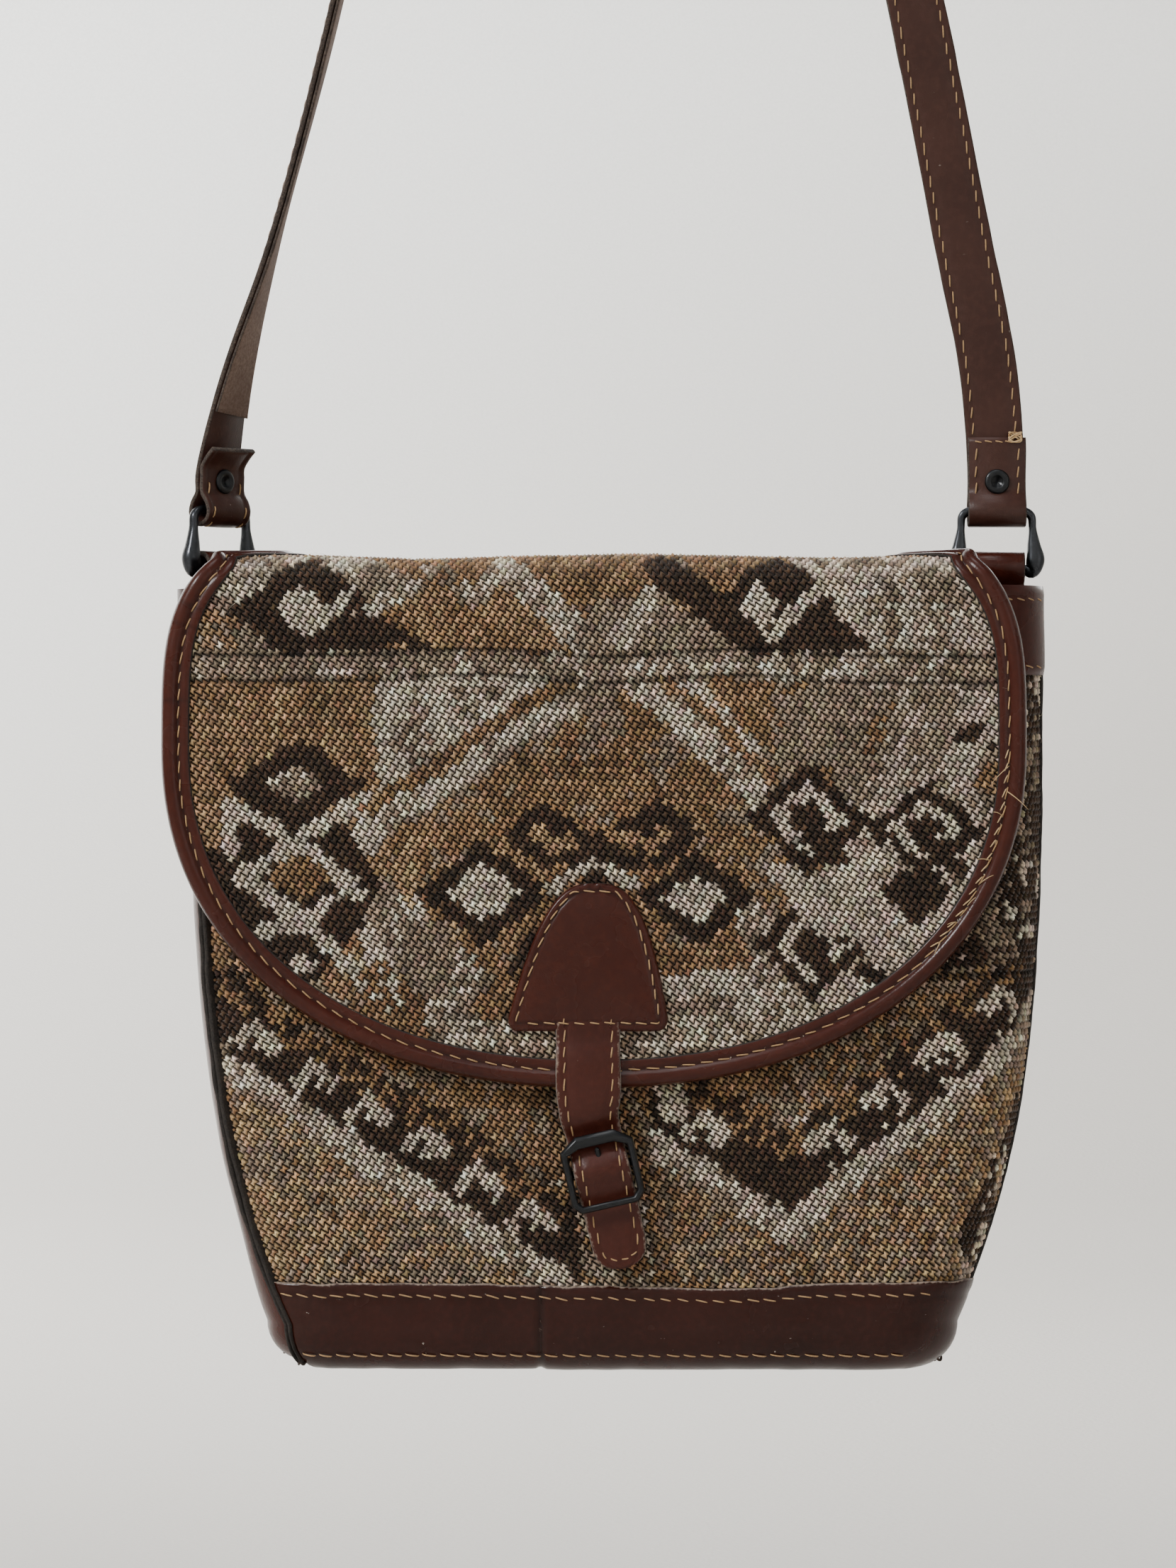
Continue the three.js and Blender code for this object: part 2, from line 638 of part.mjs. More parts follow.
function shoulderStrap() {
  const holes = [-1, 1].map((side) => eyeletPlace(new THREE.CylinderGeometry(3, 3, 9, 12), side));
  return cut(strip(STRAP_ROUTE, STRAP_WIDTH, STRAP_LEATHER), ...holes);
}

// The second ply, on the inside of the strap between the two folded ends.
function strapBacking() {
  const first = STOP_STEPS * FOLD_LEFT.length - 1;
  const last = STOP_STEPS * (STRAP_STOPS.length - FOLD_RIGHT.length) - 1;
  const inwards = -(STRAP_LEATHER + STRAP_BACKING) / 2 - GAP;
  return strip(STRAP_ROUTE.slice(first, last), STRAP_WIDTH - 0.6, STRAP_BACKING, inwards);
}

function eyeletPlace(geometry, side) {
  const place = besideRing(side, RING_TOP_BAR_Z, 0, EYELET_RISE);
  return geometry.rotateZ(ringAxes(side).turn).translate(place.x, place.y, place.z);
}

function eyelet(side) {
  const inner = 2.6;
  const outer = inner + 0.6;
  const profile = [
    [EYELET_HOLE, -outer], [EYELET_FLANGE, -outer], [EYELET_FLANGE, -inner], [EYELET_BARREL, -inner],
    [EYELET_BARREL, inner], [EYELET_FLANGE, inner], [EYELET_FLANGE, outer], [EYELET_HOLE, outer],
    [EYELET_HOLE, -outer],
  ].map(([r, y]) => new THREE.Vector2(r, y));
  return eyeletPlace(outwards(new THREE.LatheGeometry(profile, 14)), side);
}

// A leather loop over the ring's low bar; its two ends turn flat against the gusset inside.
function ringTab(side) {
  const sewnX = halfWidth(-40) - GUSSET_LEATHER - GAP - STRAP_LEATHER - 0.2;
  const start = side < 0 ? RING_TURN_LEFT : 0;
  const down = (share, layer, rise) => {
    const degrees = start + (90 - start) * share;
    const out = point(Math.sin(radians(degrees)), -Math.cos(radians(degrees)), 0);
    const x = side * (RING_X + (sewnX - RING_X) * share);
    return {
      at: out.multiplyScalar(layer).add(point(x, 0, RING_LOW_BAR_Z + rise)),
      across: turned(degrees),
    };
  };
  const leg = (layer) => [
    down(0, 3.6 * layer, -3.1), down(0, 1.1 * layer, -7), down(0.5, 1.1 * layer, -16),
    down(1, 1.1 * layer, -26), down(1, 1.1 * layer, -42),
  ];
  const over = halfTurn(1).map(([facing, rise]) => ({
    at: besideRing(side, RING_LOW_BAR_Z, facing, rise),
    across: ringAxes(side).across,
  }));
  return strip([...leg(1).reverse(), ...over, ...leg(-1)], STRAP_WIDTH - 1, STRAP_LEATHER);
}

// ---- materials and assembly ----
const material = (color, roughness, metalness = 0) => ({ color, roughness, metalness });
const WOVEN = material(0x9a8468, 0.95);
const DARK_LEATHER = material(0x46261c, 0.4);
const STRAP_BROWN = material(0x5f4137, 0.5);
const RAW_LEATHER = material(0x6a5a50, 0.85);
const EDGE_BLACK = material(0x17120f, 0.6);
const COTTON = material(0x7a6a58, 0.9);
const GUNMETAL = material(0x3c3e42, 0.35, 0.9);
const BLACK_METAL = material(0x191c20, 0.4, 0.8);

const assembly = new THREE.Group();
const bagFrame = new THREE.Group();
bagFrame.position.set(-HANG_SHIFT, 0, -HANG_DROP);
assembly.add(bagFrame);
const bag = new THREE.Group();
bagFrame.add(bag);

function place(group, name, geometry, finish) {
  const mesh = new THREE.Mesh(geometry, new THREE.MeshStandardMaterial(finish));
  mesh.name = name;
  group.add(mesh);
}

place(bagFrame, "shoulder_strap", shoulderStrap(), STRAP_BROWN);
place(bagFrame, "strap_backing", strapBacking(), RAW_LEATHER);
for (const [word, side] of [["left", -1], ["right", 1]]) {
  place(bagFrame, `eyelet_${word}`, eyelet(side), BLACK_METAL);
  place(bagFrame, `ring_${word}`, ring(side), GUNMETAL);
  place(bagFrame, `ring_tab_${word}`, ringTab(side), DARK_LEATHER);
  place(bag, `flap_top_binding_${word}`, flapTopBinding(side), DARK_LEATHER);
}

place(bag, "front_panel", wallSheet(FRONT_COLUMNS, WALL_LEVELS, -WOOL, 0), WOVEN);
place(bag, "back_panel", wallSheet(BACK_COLUMNS, WALL_LEVELS, -WOOL, 0), WOVEN);
place(bag, "gusset_left", gusset(FRONT_LEFT, BACK_LEFT, SEAM_TURN_LEFT), DARK_LEATHER);
place(bag, "gusset_right", gusset(FRONT_RIGHT, BACK_RIGHT, SEAM_TURN), DARK_LEATHER);
place(bag, "base_wrap", baseWrap(), DARK_LEATHER);
const topBandLevels = [PANEL_TOP, PANEL_TOP - TOP_BAND_DEPTH].map(wallLevel);
place(bag, "front_top_band", wallSheet(FRONT_COLUMNS, topBandLevels, GAP, GAP + LEATHER), DARK_LEATHER);
place(bag, "seam_front_left", seamWelt(FRONT_LEFT, SEAM_TURN_LEFT), EDGE_BLACK);
place(bag, "seam_front_right", seamWelt(FRONT_RIGHT, SEAM_TURN), EDGE_BLACK);
place(bag, "seam_back_left", seamWelt(BACK_LEFT, SEAM_TURN), EDGE_BLACK);
place(bag, "seam_back_right", seamWelt(BACK_RIGHT, SEAM_TURN), EDGE_BLACK);
place(bag, "main_lining", liningSack(), COTTON);

const liningOuter = -FLAP_CLOTH - GAP;
place(bag, "flap_root", flapRoot(), WOVEN);
place(bag, "flap_top_cloth", flapTopSheet(-FLAP_CLOTH, 0), WOVEN);
place(bag, "flap_top_lining", flapTopSheet(liningOuter - FLAP_LINING, liningOuter), RAW_LEATHER);
place(bag, "flap_cloth", flapFrontSheet(-FLAP_CLOTH, 0), WOVEN);
place(bag, "flap_lining", flapFrontSheet(liningOuter - FLAP_LINING, liningOuter), RAW_LEATHER);
place(bag, "flap_binding", flapFrontBinding(), DARK_LEATHER);

place(bag, "closure_patch", closurePatch(), DARK_LEATHER);
place(bag, "closure_strap", closureStrap(), DARK_LEATHER);
place(bag, "buckle_anchor", buckleAnchor(), DARK_LEATHER);
place(bag, "buckle_frame", buckleFrame(), BLACK_METAL);
place(bag, "buckle_prong", buckleProng(), BLACK_METAL);

export default assembly;
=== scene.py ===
"""Looks of a woven messenger bag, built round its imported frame.

Shapes are worked out in millimetres from the middle of the bag's top, and world() turns
them into metres in the frame.
"""
import math

import bpy
import numpy as np
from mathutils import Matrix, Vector

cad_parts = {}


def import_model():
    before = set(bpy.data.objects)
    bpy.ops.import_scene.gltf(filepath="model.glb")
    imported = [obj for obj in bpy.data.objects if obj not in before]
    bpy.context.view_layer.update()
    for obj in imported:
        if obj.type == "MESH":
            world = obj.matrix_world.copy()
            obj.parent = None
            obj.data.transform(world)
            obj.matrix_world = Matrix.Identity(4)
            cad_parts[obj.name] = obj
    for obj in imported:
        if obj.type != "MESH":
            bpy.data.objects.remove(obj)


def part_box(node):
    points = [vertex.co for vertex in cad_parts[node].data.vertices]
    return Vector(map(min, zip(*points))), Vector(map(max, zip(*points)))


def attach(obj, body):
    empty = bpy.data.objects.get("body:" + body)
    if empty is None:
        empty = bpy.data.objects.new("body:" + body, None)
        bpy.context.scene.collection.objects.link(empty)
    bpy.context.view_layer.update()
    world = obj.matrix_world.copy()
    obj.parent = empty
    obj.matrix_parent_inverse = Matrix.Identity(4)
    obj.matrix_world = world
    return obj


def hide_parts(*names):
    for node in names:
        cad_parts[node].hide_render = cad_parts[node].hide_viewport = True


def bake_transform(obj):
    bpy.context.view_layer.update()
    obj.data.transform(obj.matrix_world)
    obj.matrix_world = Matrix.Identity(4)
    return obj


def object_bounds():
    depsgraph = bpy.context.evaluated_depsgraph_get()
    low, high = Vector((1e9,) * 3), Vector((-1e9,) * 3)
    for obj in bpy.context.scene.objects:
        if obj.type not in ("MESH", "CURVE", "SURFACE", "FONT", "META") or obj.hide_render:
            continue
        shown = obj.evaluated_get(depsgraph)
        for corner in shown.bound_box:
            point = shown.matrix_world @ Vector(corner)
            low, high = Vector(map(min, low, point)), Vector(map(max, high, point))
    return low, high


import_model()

CAD_LOW, CAD_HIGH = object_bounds()
PI = math.pi

# ---- driving dimensions, millimetres ----
PANEL_TOP = -10
BACK_LOW, BACK_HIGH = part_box("back_panel")
ORIGIN = np.array([(BACK_LOW.x + BACK_HIGH.x) / 2, 0, BACK_HIGH.z - PANEL_TOP / 1000])

TOP_HALF_WIDTH = 148.7
HALF_WIDTH_LOSS = 30
HALF_DEPTH = 36
CORNER = 28
ROLL = 14  # wall to underside
ROLL_Z = -261
ROLL_END = ROLL_Z - ROLL * PI / 2  # where the roll ends, as length down the wall
BAND_TOP = -247
TOP_BAND_FOOT = -40
SEAM_TURN_LEFT = math.radians(37)
SEAM_TURN = math.radians(78)

FLAP_SHIFT = -5
FLAP_WIDE_Z = -64
FLAP_BOTTOM = -179.4
FLAP_HALF_WIDE = 146
FLAP_HALF_TOP = 130
FLAP_NOTCH_HALF = 108
FLAP_FRONT_FLAT = 35  # from the top's middle line to the start of each roll
FLAP_BACK_FLAT = 31
FLAP_ROLL = 10
FLAP_FRONT_EDGE = FLAP_FRONT_FLAT + FLAP_ROLL * PI / 2  # where the roll ends and the front hangs
FLAP_BACK_EDGE = FLAP_BACK_FLAT + FLAP_ROLL * PI / 2
FLAP_LENGTH = FLAP_FRONT_EDGE - FLAP_ROLL - FLAP_BOTTOM
FLAP_ROOT = FLAP_BACK_EDGE + 24
FOOT_POWER = 2.2  # how square the flap's round foot is

CLOSURE_X = -7
BILLET_WIDTH = 19
BILLET_THICK = 2.4
ANCHOR_THICK = 1.3
BAR_RADIUS = 1.4
BUCKLE = np.array([-2.4, -42.5, -207])
BUCKLE_TILT = math.radians(13)

RING_X = 134.4
RING_TOP_Z = 17.3
RING_LOW_Z = -2
RING_TURN = {-1: math.radians(47), 1: 0.0}
STRAP_WIDTH = 20
STRAP_THICK = 1.8
BACKING_THICK = 1.2
BACKING_FOOT = 50  # the height where the backing starts, above the folded ends
LOOP_RADIUS = 3.7 + STRAP_THICK / 2
HANG_DROP = -ORIGIN[2] * 1000
HANG_SHIFT = -ORIGIN[0] * 1000


def world(points):
    """Millimetres about the bag's top to metres in the frame."""
    return ORIGIN + np.asarray(points, float) / 1000


def noise(u, v, size, seed):
    """Smooth noise from -1 to 1, in lumps of about size."""
    side = 64
    grid = np.random.default_rng(seed).uniform(-1, 1, (side, side))
    a, b = np.asarray(u, float) / size, np.asarray(v, float) / size
    i, j = np.floor(a).astype(int), np.floor(b).astype(int)
    s, t = a - i, b - j
    s, t = s * s * (3 - 2 * s), t * t * (3 - 2 * t)

    def at(p, q):
        return grid[p % side, q % side]

    near = at(i, j) * (1 - s) + at(i + 1, j) * s
    far = at(i, j + 1) * (1 - s) + at(i + 1, j + 1) * s
    return near * (1 - t) + far * t


def smooth_step(x, low, high):
    t = np.clip((np.asarray(x, float) - low) / (high - low), 0, 1)
    return t * t * (3 - 2 * t)


# ---- meshes ----
def piece(name, points, faces, materials, body=None, replaces=(), index=None, bevel=0):
    """A smooth-shaded mesh from millimetre points. bevel rounds its sharp edges, in millimetres."""
    mesh = bpy.data.meshes.new(name)
    mesh.from_pydata(world(points).tolist(), [], [list(map(int, f)) for f in faces])
    mesh.polygons.foreach_set("use_smooth", [True] * len(mesh.polygons))
    for material in materials:
        mesh.materials.append(material)
    if index is not None:
        mesh.polygons.foreach_set("material_index", np.asarray(index, np.int32))
    obj = bpy.data.objects.new(name, mesh)
    bpy.context.collection.objects.link(obj)
    if bevel:
        rounded(obj, bevel)
    if body:
        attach(obj, body)
    if replaces:
        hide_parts(*replaces)
    return obj


def rounded(obj, width, segments=2):
    """Rounds the sharp edges into the mesh itself."""
    modifier = obj.modifiers.new("round", "BEVEL")
    modifier.width = width / 1000
    modifier.segments = segments
    modifier.limit_method = "ANGLE"
    modifier.angle_limit = math.radians(45)
    modifier.use_clamp_overlap = True
    settle(obj)


def settle(obj):
    """Turns the modifiers' result into the object's own mesh."""
    graph = bpy.context.evaluated_depsgraph_get()
    made = bpy.data.meshes.new_from_object(obj.evaluated_get(graph), depsgraph=graph)
    obj.modifiers.clear()
    obj.data = made


def point_values(obj, name, values):
    attribute = obj.data.attributes.new(name, "FLOAT", "POINT")
    attribute.data.foreach_set("value", np.asarray(values, np.float32))


def grid_faces(rows, columns, start=0, closed=False):
    """Quads over rows of points; closed joins the last column to the first."""
    across = columns if closed else columns - 1
    r, c = np.mgrid[0 : rows - 1, 0:across]
    a, b = start + r * columns + c, start + r * columns + (c + 1) % columns
    return np.stack([a, b, b + columns, a + columns], -1).reshape(-1, 4)


def tube_faces(rows, columns):
    """Quads round a tube of rows of points, and its two end faces."""
    ends = [list(range(columns))[::-1], list(range((rows - 1) * columns, rows * columns))]
    return grid_faces(rows, columns, closed=True).tolist() + ends


def hoop_faces(rows, columns):
    """Quads of a tube whose last row joins its first."""
    faces = grid_faces(rows + 1, columns, closed=True)
    return np.where(faces >= rows * columns, faces - rows * columns, faces).tolist()


def slab(outer, inner):
    """A closed sheet between two grids of points, and which of its faces are its cut edge."""
    rows, columns = outer.shape[:2]
    count = rows * columns
    faces = grid_faces(rows, columns)
    behind = faces[:, ::-1] + count
    rim = [*range(columns - 1)]
    rim += [r * columns + columns - 1 for r in range(rows - 1)]
    rim += [(rows - 1) * columns + c for c in range(columns - 1, 0, -1)]
    rim += [r * columns for r in range(rows - 1, 0, -1)]
    rim = np.array(rim)
    after = np.roll(rim, -1)
    edge = np.stack([after, rim, rim + count, after + count], 1)
    points = np.concatenate([outer.reshape(-1, 3), inner.reshape(-1, 3)])
    everything = np.concatenate([faces, behind, edge])
    if signed_volume(points, everything) < 0:
        everything = everything[:, ::-1]
    is_edge = np.arange(len(everything)) >= 2 * len(faces)
    return points, everything, is_edge


def signed_volume(points, faces):
    a, b, c, d = (points[faces[:, k]] for k in range(4))
    return (a * np.cross(b, c)).sum() + (a * np.cross(c, d)).sum()


def spaced(points, step):
    """The same polyline with points every step."""
    points = np.asarray(points, float)
    long = np.concatenate([[0], np.cumsum(np.linalg.norm(np.diff(points, axis=0), axis=1))])
    at = np.linspace(0, long[-1], max(2, int(round(long[-1] / step)) + 1))
    return np.stack([np.interp(at, long, points[:, k]) for k in range(points.shape[1])], 1)


def curve_through(stops, step):
    """Centripetal Catmull-Rom curve through the stops, with points every step."""
    p = np.asarray(stops, float)
    p = np.vstack([2 * p[0] - p[1], p, 2 * p[-1] - p[-2]])
    chords = np.linalg.norm(np.diff(p[:, :3], axis=0), axis=1)
    knots = np.concatenate([[0], np.cumsum(chords**0.5)])
    out = []
    for i in range(1, len(p) - 2):
        t = np.linspace(knots[i], knots[i + 1], 16, endpoint=i == len(p) - 3)[:, None]
        k = knots[i - 1 : i + 3]

        def between(low, high, near, far, k=k, t=t):
            span = k[high] - k[low]
            return (k[high] - t) / span * near + (t - k[low]) / span * far

        a = [between(n, n + 1, p[i - 1 + n], p[i + n]) for n in range(3)]
        b = [between(n, n + 2, a[n], a[n + 1]) for n in range(2)]
        out.append(between(1, 2, b[0], b[1]))
    return spaced(np.vstack(out), step)


def sweep(route, across, section, wide=None, closed=False):
    """Points and faces of a section [side, out] carried along a route."""
    route, across = np.asarray(route, float), np.asarray(across, float)
    along = np.gradient(route, axis=0)
    if closed:
        along = np.roll(route, -1, 0) - np.roll(route, 1, 0)
    along /= np.linalg.norm(along, axis=1, keepdims=True)
    side = across - along * (across * along).sum(1, keepdims=True)
    side /= np.linalg.norm(side, axis=1, keepdims=True)
    out = np.cross(along, side)
    section = np.asarray(section, float)
    if section.ndim == 2:
        section = np.repeat(section[None], len(route), 0)
    wide = np.ones(len(route)) if wide is None else np.asarray(wide, float)
    points = (
        route[:, None]
        + side[:, None] * section[..., :1] * wide[:, None, None]
        + out[:, None] * section[..., 1:]
    )
    faces = hoop_faces if closed else tube_faces
    return points.reshape(-1, 3), faces(*points.shape[:2])


# ---- the bag's surfaces ----
def half_width(z):
    return TOP_HALF_WIDTH - HALF_WIDTH_LOSS * (z / ROLL_Z) ** 4


def wall(side_y, s, z, out):
    """A wall's point at s along it from the wide face's middle.

    Below ROLL_Z, z goes on round the roll and under the bag.
    """
    s, z = np.broadcast_arrays(np.asarray(s, float), np.asarray(z, float))
    level = np.maximum(z, ROLL_Z)
    roll = np.clip((ROLL_Z - z) / ROLL, 0, PI / 2)
    under = np.maximum(ROLL_Z - ROLL * PI / 2 - z, 0)
    straight = half_width(level) - CORNER
    turn = np.clip((np.abs(s) - straight) / CORNER, 0, PI / 2)
    beyond = np.maximum(np.abs(s) - straight - CORNER * PI / 2, 0)
    slack = wall_slack(side_y, s, level) * np.cos(turn) * np.cos(roll)
    reach = CORNER - ROLL + (ROLL + out + slack) * np.cos(roll)
    x = np.sign(s) * (np.minimum(np.abs(s), straight) + reach * np.sin(turn))
    y = side_y * np.maximum(HALF_DEPTH - CORNER + reach * np.cos(turn) - beyond - under, 0)
    return np.stack([x + side_tuck(x, y, level), y, level - (ROLL + out) * np.sin(roll)], -1)


def side_tuck(x, y, z):
    """How far the soft left side has fallen in: at its back, and at its front corner above."""
    deep = smooth_step(-z, 45, 95) * (1 - 0.75 * smooth_step(-z, 225, 262))
    corner = (1 - smooth_step(y, -34, -12)) * (1 - smooth_step(-z, 30, 75))
    corner = corner * smooth_step(-x, 95, 138)
    return 9 * deep * smooth_step(-x, 60, 140) * smooth_step(y, -34, 8) + 8 * corner


def wall_slack(side_y, s, z):
    """How far soft cloth stands off a plain wall."""
    sag = 1.6 * np.sin(np.clip(-z / 277, 0, 1) * PI) ** 2
    return sag + 0.9 * noise(s, z, 62, 5 + int(side_y)) + 0.35 * noise(s, z, 17, 9)


def seam_s(side_y, sign, z):
    """Where the wide face's piece ends, beside its seam."""
    turn = SEAM_TURN_LEFT if (side_y, sign) == (-1, -1) else SEAM_TURN
    return sign * (half_width(np.maximum(z, ROLL_Z)) - CORNER + CORNER * turn)


def flap_half(z):
    """The flap's half width at height z, from its top down to its round foot."""
    z = np.asarray(z, float)
    up = np.clip(1 - z / FLAP_WIDE_Z, 0, 1)
    above = FLAP_HALF_TOP + (FLAP_HALF_WIDE - FLAP_HALF_TOP) * (1 - up**3.8)
    down = np.clip((FLAP_WIDE_Z - z) / (FLAP_WIDE_Z - FLAP_BOTTOM), 0, 1)
    below = FLAP_HALF_WIDE * (1 - down**FOOT_POWER) ** (1 / FOOT_POWER)
    return np.where(z > FLAP_WIDE_Z, above, below)


def flap_height(d):
    """Height along the cloth as if it lay flat, from its length d past the top's middle line."""
    return FLAP_FRONT_EDGE - FLAP_ROLL - np.asarray(d, float)


def flap_edge_half(d):
    """Half width at length d; beside the rings the top is notched."""
    d = np.asarray(d, float)
    front = flap_half(np.minimum(flap_height(d), 0))
    flare = smooth_step(d, FLAP_FRONT_FLAT - 14, FLAP_FRONT_FLAT + 1)
    return FLAP_NOTCH_HALF + (front - FLAP_NOTCH_HALF) * flare


def flap(x, d, out):
    """A point of the flap: d is length along the cloth, forwards from the top's middle line."""
    x, d = np.broadcast_arrays(np.asarray(x, float), np.asarray(d, float))
    sign = np.where(d < 0, -1, 1)
    flat = np.where(d < 0, FLAP_BACK_FLAT, FLAP_FRONT_FLAT)
    past = np.abs(d) - flat
    turn = np.clip(past / FLAP_ROLL, 0, PI / 2)
    down = np.maximum(past - FLAP_ROLL * PI / 2, 0)
    lie = out + flap_slack(x, d, down)
    y = -sign * (np.minimum(np.abs(d), flat) + (FLAP_ROLL + lie) * np.sin(turn))
    z = -FLAP_ROLL + (FLAP_ROLL + lie) * np.cos(turn) - down
    return np.stack([x, y, z], -1)


def flap_slack(x, d, down):
    top = 1 - smooth_step(down, 0, 40)
    wave = 0.9 * np.sin(x / 21 + 0.6) + 0.8 * noise(x, d, 34, 21)
    hang = 0.9 * noise(x, d, 55, 22) * smooth_step(down, 20, 60)
    return top * wave * 0.8 + hang


# ---- colours ----
def linear(r, g, b):
    """A colour given as 0-255 screen numbers, in linear light."""
    c = np.array([r, g, b]) / 255
    return tuple(np.where(c <= 0.04045, c / 12.92, ((c + 0.055) / 1.055) ** 2.4))


def scaled(colour, share):
    return tuple(np.array(colour) * share)


CREAM = linear(224, 207, 184)
GREIGE = linear(154, 134, 113)
CAMEL = linear(166, 132, 97)
TAN = linear(146, 113, 79)
BROWN = linear(70, 52, 38)
PINK = linear(204, 182, 164)
GOLD = linear(186, 154, 114)
WOOL = np.array([CREAM, GREIGE, CAMEL, TAN, BROWN, PINK, GOLD])
CREAM_, GREIGE_, CAMEL_, TAN_, BROWN_, PINK_, GOLD_ = range(len(WOOL))


# ---- the woven pattern: every rule says which beads of yarn take a colour ----
MIX_LUMP = 8  # the size of the lumps in which a mix of colours falls


class Weave:
    """Colour numbers for beads at x, z, painted over one another."""

    def __init__(self, x, z, seed):
        self.random = np.random.default_rng(seed)
        self.seed = seed
        jitter = self.random.uniform(-1, 1, (2, *x.shape))
        self.x = x + 0.8 * jitter[0] + 1.6 * noise(x, z, 26, seed + 4)
        self.z = z + 0.8 * jitter[1] + 1.6 * noise(x, z, 26, seed + 5)
        self.far = 7 * self.random.uniform(-1, 1, x.shape) + 9 * noise(x, z, 30, seed + 6)
        self.colour = np.full(x.shape, CAMEL_)

    def paint(self, where, *mix):
        """Gives these beads a colour, or several in loose patches."""
        self.seed += 7
        patchy = noise(self.x, self.z, MIX_LUMP, self.seed)
        patchy = patchy + 0.5 * self.random.uniform(-1, 1, self.x.shape)
        chosen = ((0.5 + 0.5 * patchy) * len(mix)).astype(int).clip(0, len(mix) - 1)
        self.colour = np.where(where, np.array(mix)[chosen], self.colour)

    def diamond(self, x, z, wide, tall):
        return np.abs(self.x - x) / wide + np.abs(self.z - z) / tall < 1

    def ring(self, x, z, wide, tall, thick):
        inner = self.diamond(x, z, wide - thick, tall - thick * tall / wide)
        return self.diamond(x, z, wide, tall) & ~inner

    def line(self, x0, z0, x1, z1, half):
        dx, dz = x1 - x0, z1 - z0
        t = np.clip(((self.x - x0) * dx + (self.z - z0) * dz) / (dx * dx + dz * dz), 0, 1)
        return np.hypot(self.x - x0 - t * dx, self.z - z0 - t * dz) < half

    def between(self, x0, x1, z0, z1, loose=0):
        x, z = self.x + loose * self.far, self.z - loose * self.far
        return (x > x0) & (x < x1) & (z > z0) & (z < z1)


def flap_pattern(x, z):
    w = Weave(x, z, 31)
    w.paint(w.z < -42, CAMEL_, CAMEL_, CAMEL_, TAN_, GOLD_)
    w.paint(w.between(-75, 55, -300, -30, 1), CAMEL_, TAN_, TAN_, CAMEL_, GREIGE_)
    w.paint(w.between(55, 200, -300, -30, 1), GREIGE_, GREIGE_, PINK_, PINK_, CREAM_)
    w.paint(w.between(48, 88, -96, -30, 1), GREIGE_, GREIGE_, GREIGE_, TAN_)
    flap_chevrons(w)
    flap_foot(w)
    flap_left_hooks(w)
    flap_right_hooks(w)
    flap_horns(w)
    flap_top_row(w)
    w.paint(w.between(-200, 200, -41.5, -32), GREIGE_, GREIGE_, GREIGE_, CREAM_)
    return w.colour


def flap_chevrons(w):
    """Stripes that fall away to both sides from the middle of the top."""
    left = -42 + 0.62 * (w.x + 17.6) - w.z
    inside = w.between(-78, -2, -125, -40)
    w.paint(inside & (left < 0), CREAM_, CREAM_, CREAM_, GREIGE_)
    w.paint(inside & (left >= 0) & (left < 5.5), TAN_, CAMEL_)
    w.paint(inside & (left >= 5.5) & (left < 15), CREAM_, CREAM_, GREIGE_)
    w.paint(inside & (left >= 15) & (left < 17), GREIGE_)
    right = w.x - (23.6 + 1.12 * (-40 - w.z))
    inside = w.between(-4, 57, -96, -40)
    w.paint(inside & (right > 3.5), TAN_, TAN_, CAMEL_)
    w.paint(inside & (np.abs(right) <= 3.5), CREAM_, CREAM_, GREIGE_)
    w.paint(inside & (right < -3.5) & (right > -9.5), TAN_, CAMEL_)
    w.paint(inside & (right <= -9.5) & (right > -24), CREAM_, CREAM_, GREIGE_)
    w.paint(w.line(-2, -44, -2, -60, 7) & (w.z > -62), GREIGE_, GREIGE_, TAN_)


def flap_foot(w):
    w.paint(w.line(-76, -118, -38, -160, 10), CREAM_, GREIGE_, GREIGE_)
    w.paint(w.line(-80, -142, -52, -166, 6), CAMEL_, TAN_, CREAM_)
    w.paint(w.between(-60, 70, -200, -150), GREIGE_, CREAM_, GREIGE_)
    w.paint(w.line(22, -146, 62, -150, 9), GREIGE_, CREAM_, CREAM_)
    w.paint(w.line(22, -137, 46, -128, 5), CAMEL_, TAN_)
    w.paint(w.line(46, -118, 58, -150, 5), CREAM_, GREIGE_, PINK_)
    w.paint(w.line(-20, -126, -34, -150, 7), BROWN_, TAN_, TAN_)
    w.paint(w.line(-32, -146, -40, -152, 5), TAN_, CAMEL_)


def flap_left_hooks(w):
    w.paint(w.diamond(-110, -112, 33, 50), BROWN_)
    w.paint(w.diamond(-106, -77, 23, 16), BROWN_)
    w.paint(w.diamond(-106, -77, 10, 7.5), GREIGE_, GREIGE_, CREAM_)
    w.paint(w.diamond(-132, -91, 8, 9), CAMEL_)
    for x0, z0, x1, z1 in (
        (-127, -84, -107, -98), (-84, -82, -124, -110), (-107, -98, -85, -114),
        (-124, -110, -104, -124), (-85, -114, -104, -124), (-104, -124, -118, -129),
        (-104, -124, -86, -140), (-86, -140, -76, -133), (-127, -84, -127, -100),
    ):
        w.paint(w.line(x0, z0, x1, z1, 2.9), CREAM_)
    w.paint(w.diamond(-105, -110, 11, 9), CAMEL_, TAN_)
    w.paint(w.diamond(-81, -95, 6.5, 9), CREAM_)
    w.paint(w.diamond(-90, -124, 8, 8), BROWN_)
    w.paint(w.diamond(-80, -128, 4.5, 6), CREAM_)
    w.paint(w.diamond(-103, -139, 6, 4), CREAM_)
    w.paint(w.line(-100, -147, -88, -154, 2.4), CREAM_, GREIGE_)
    w.paint(w.diamond(-66, -107, 9, 14) & (w.x < -66), GOLD_, CAMEL_)


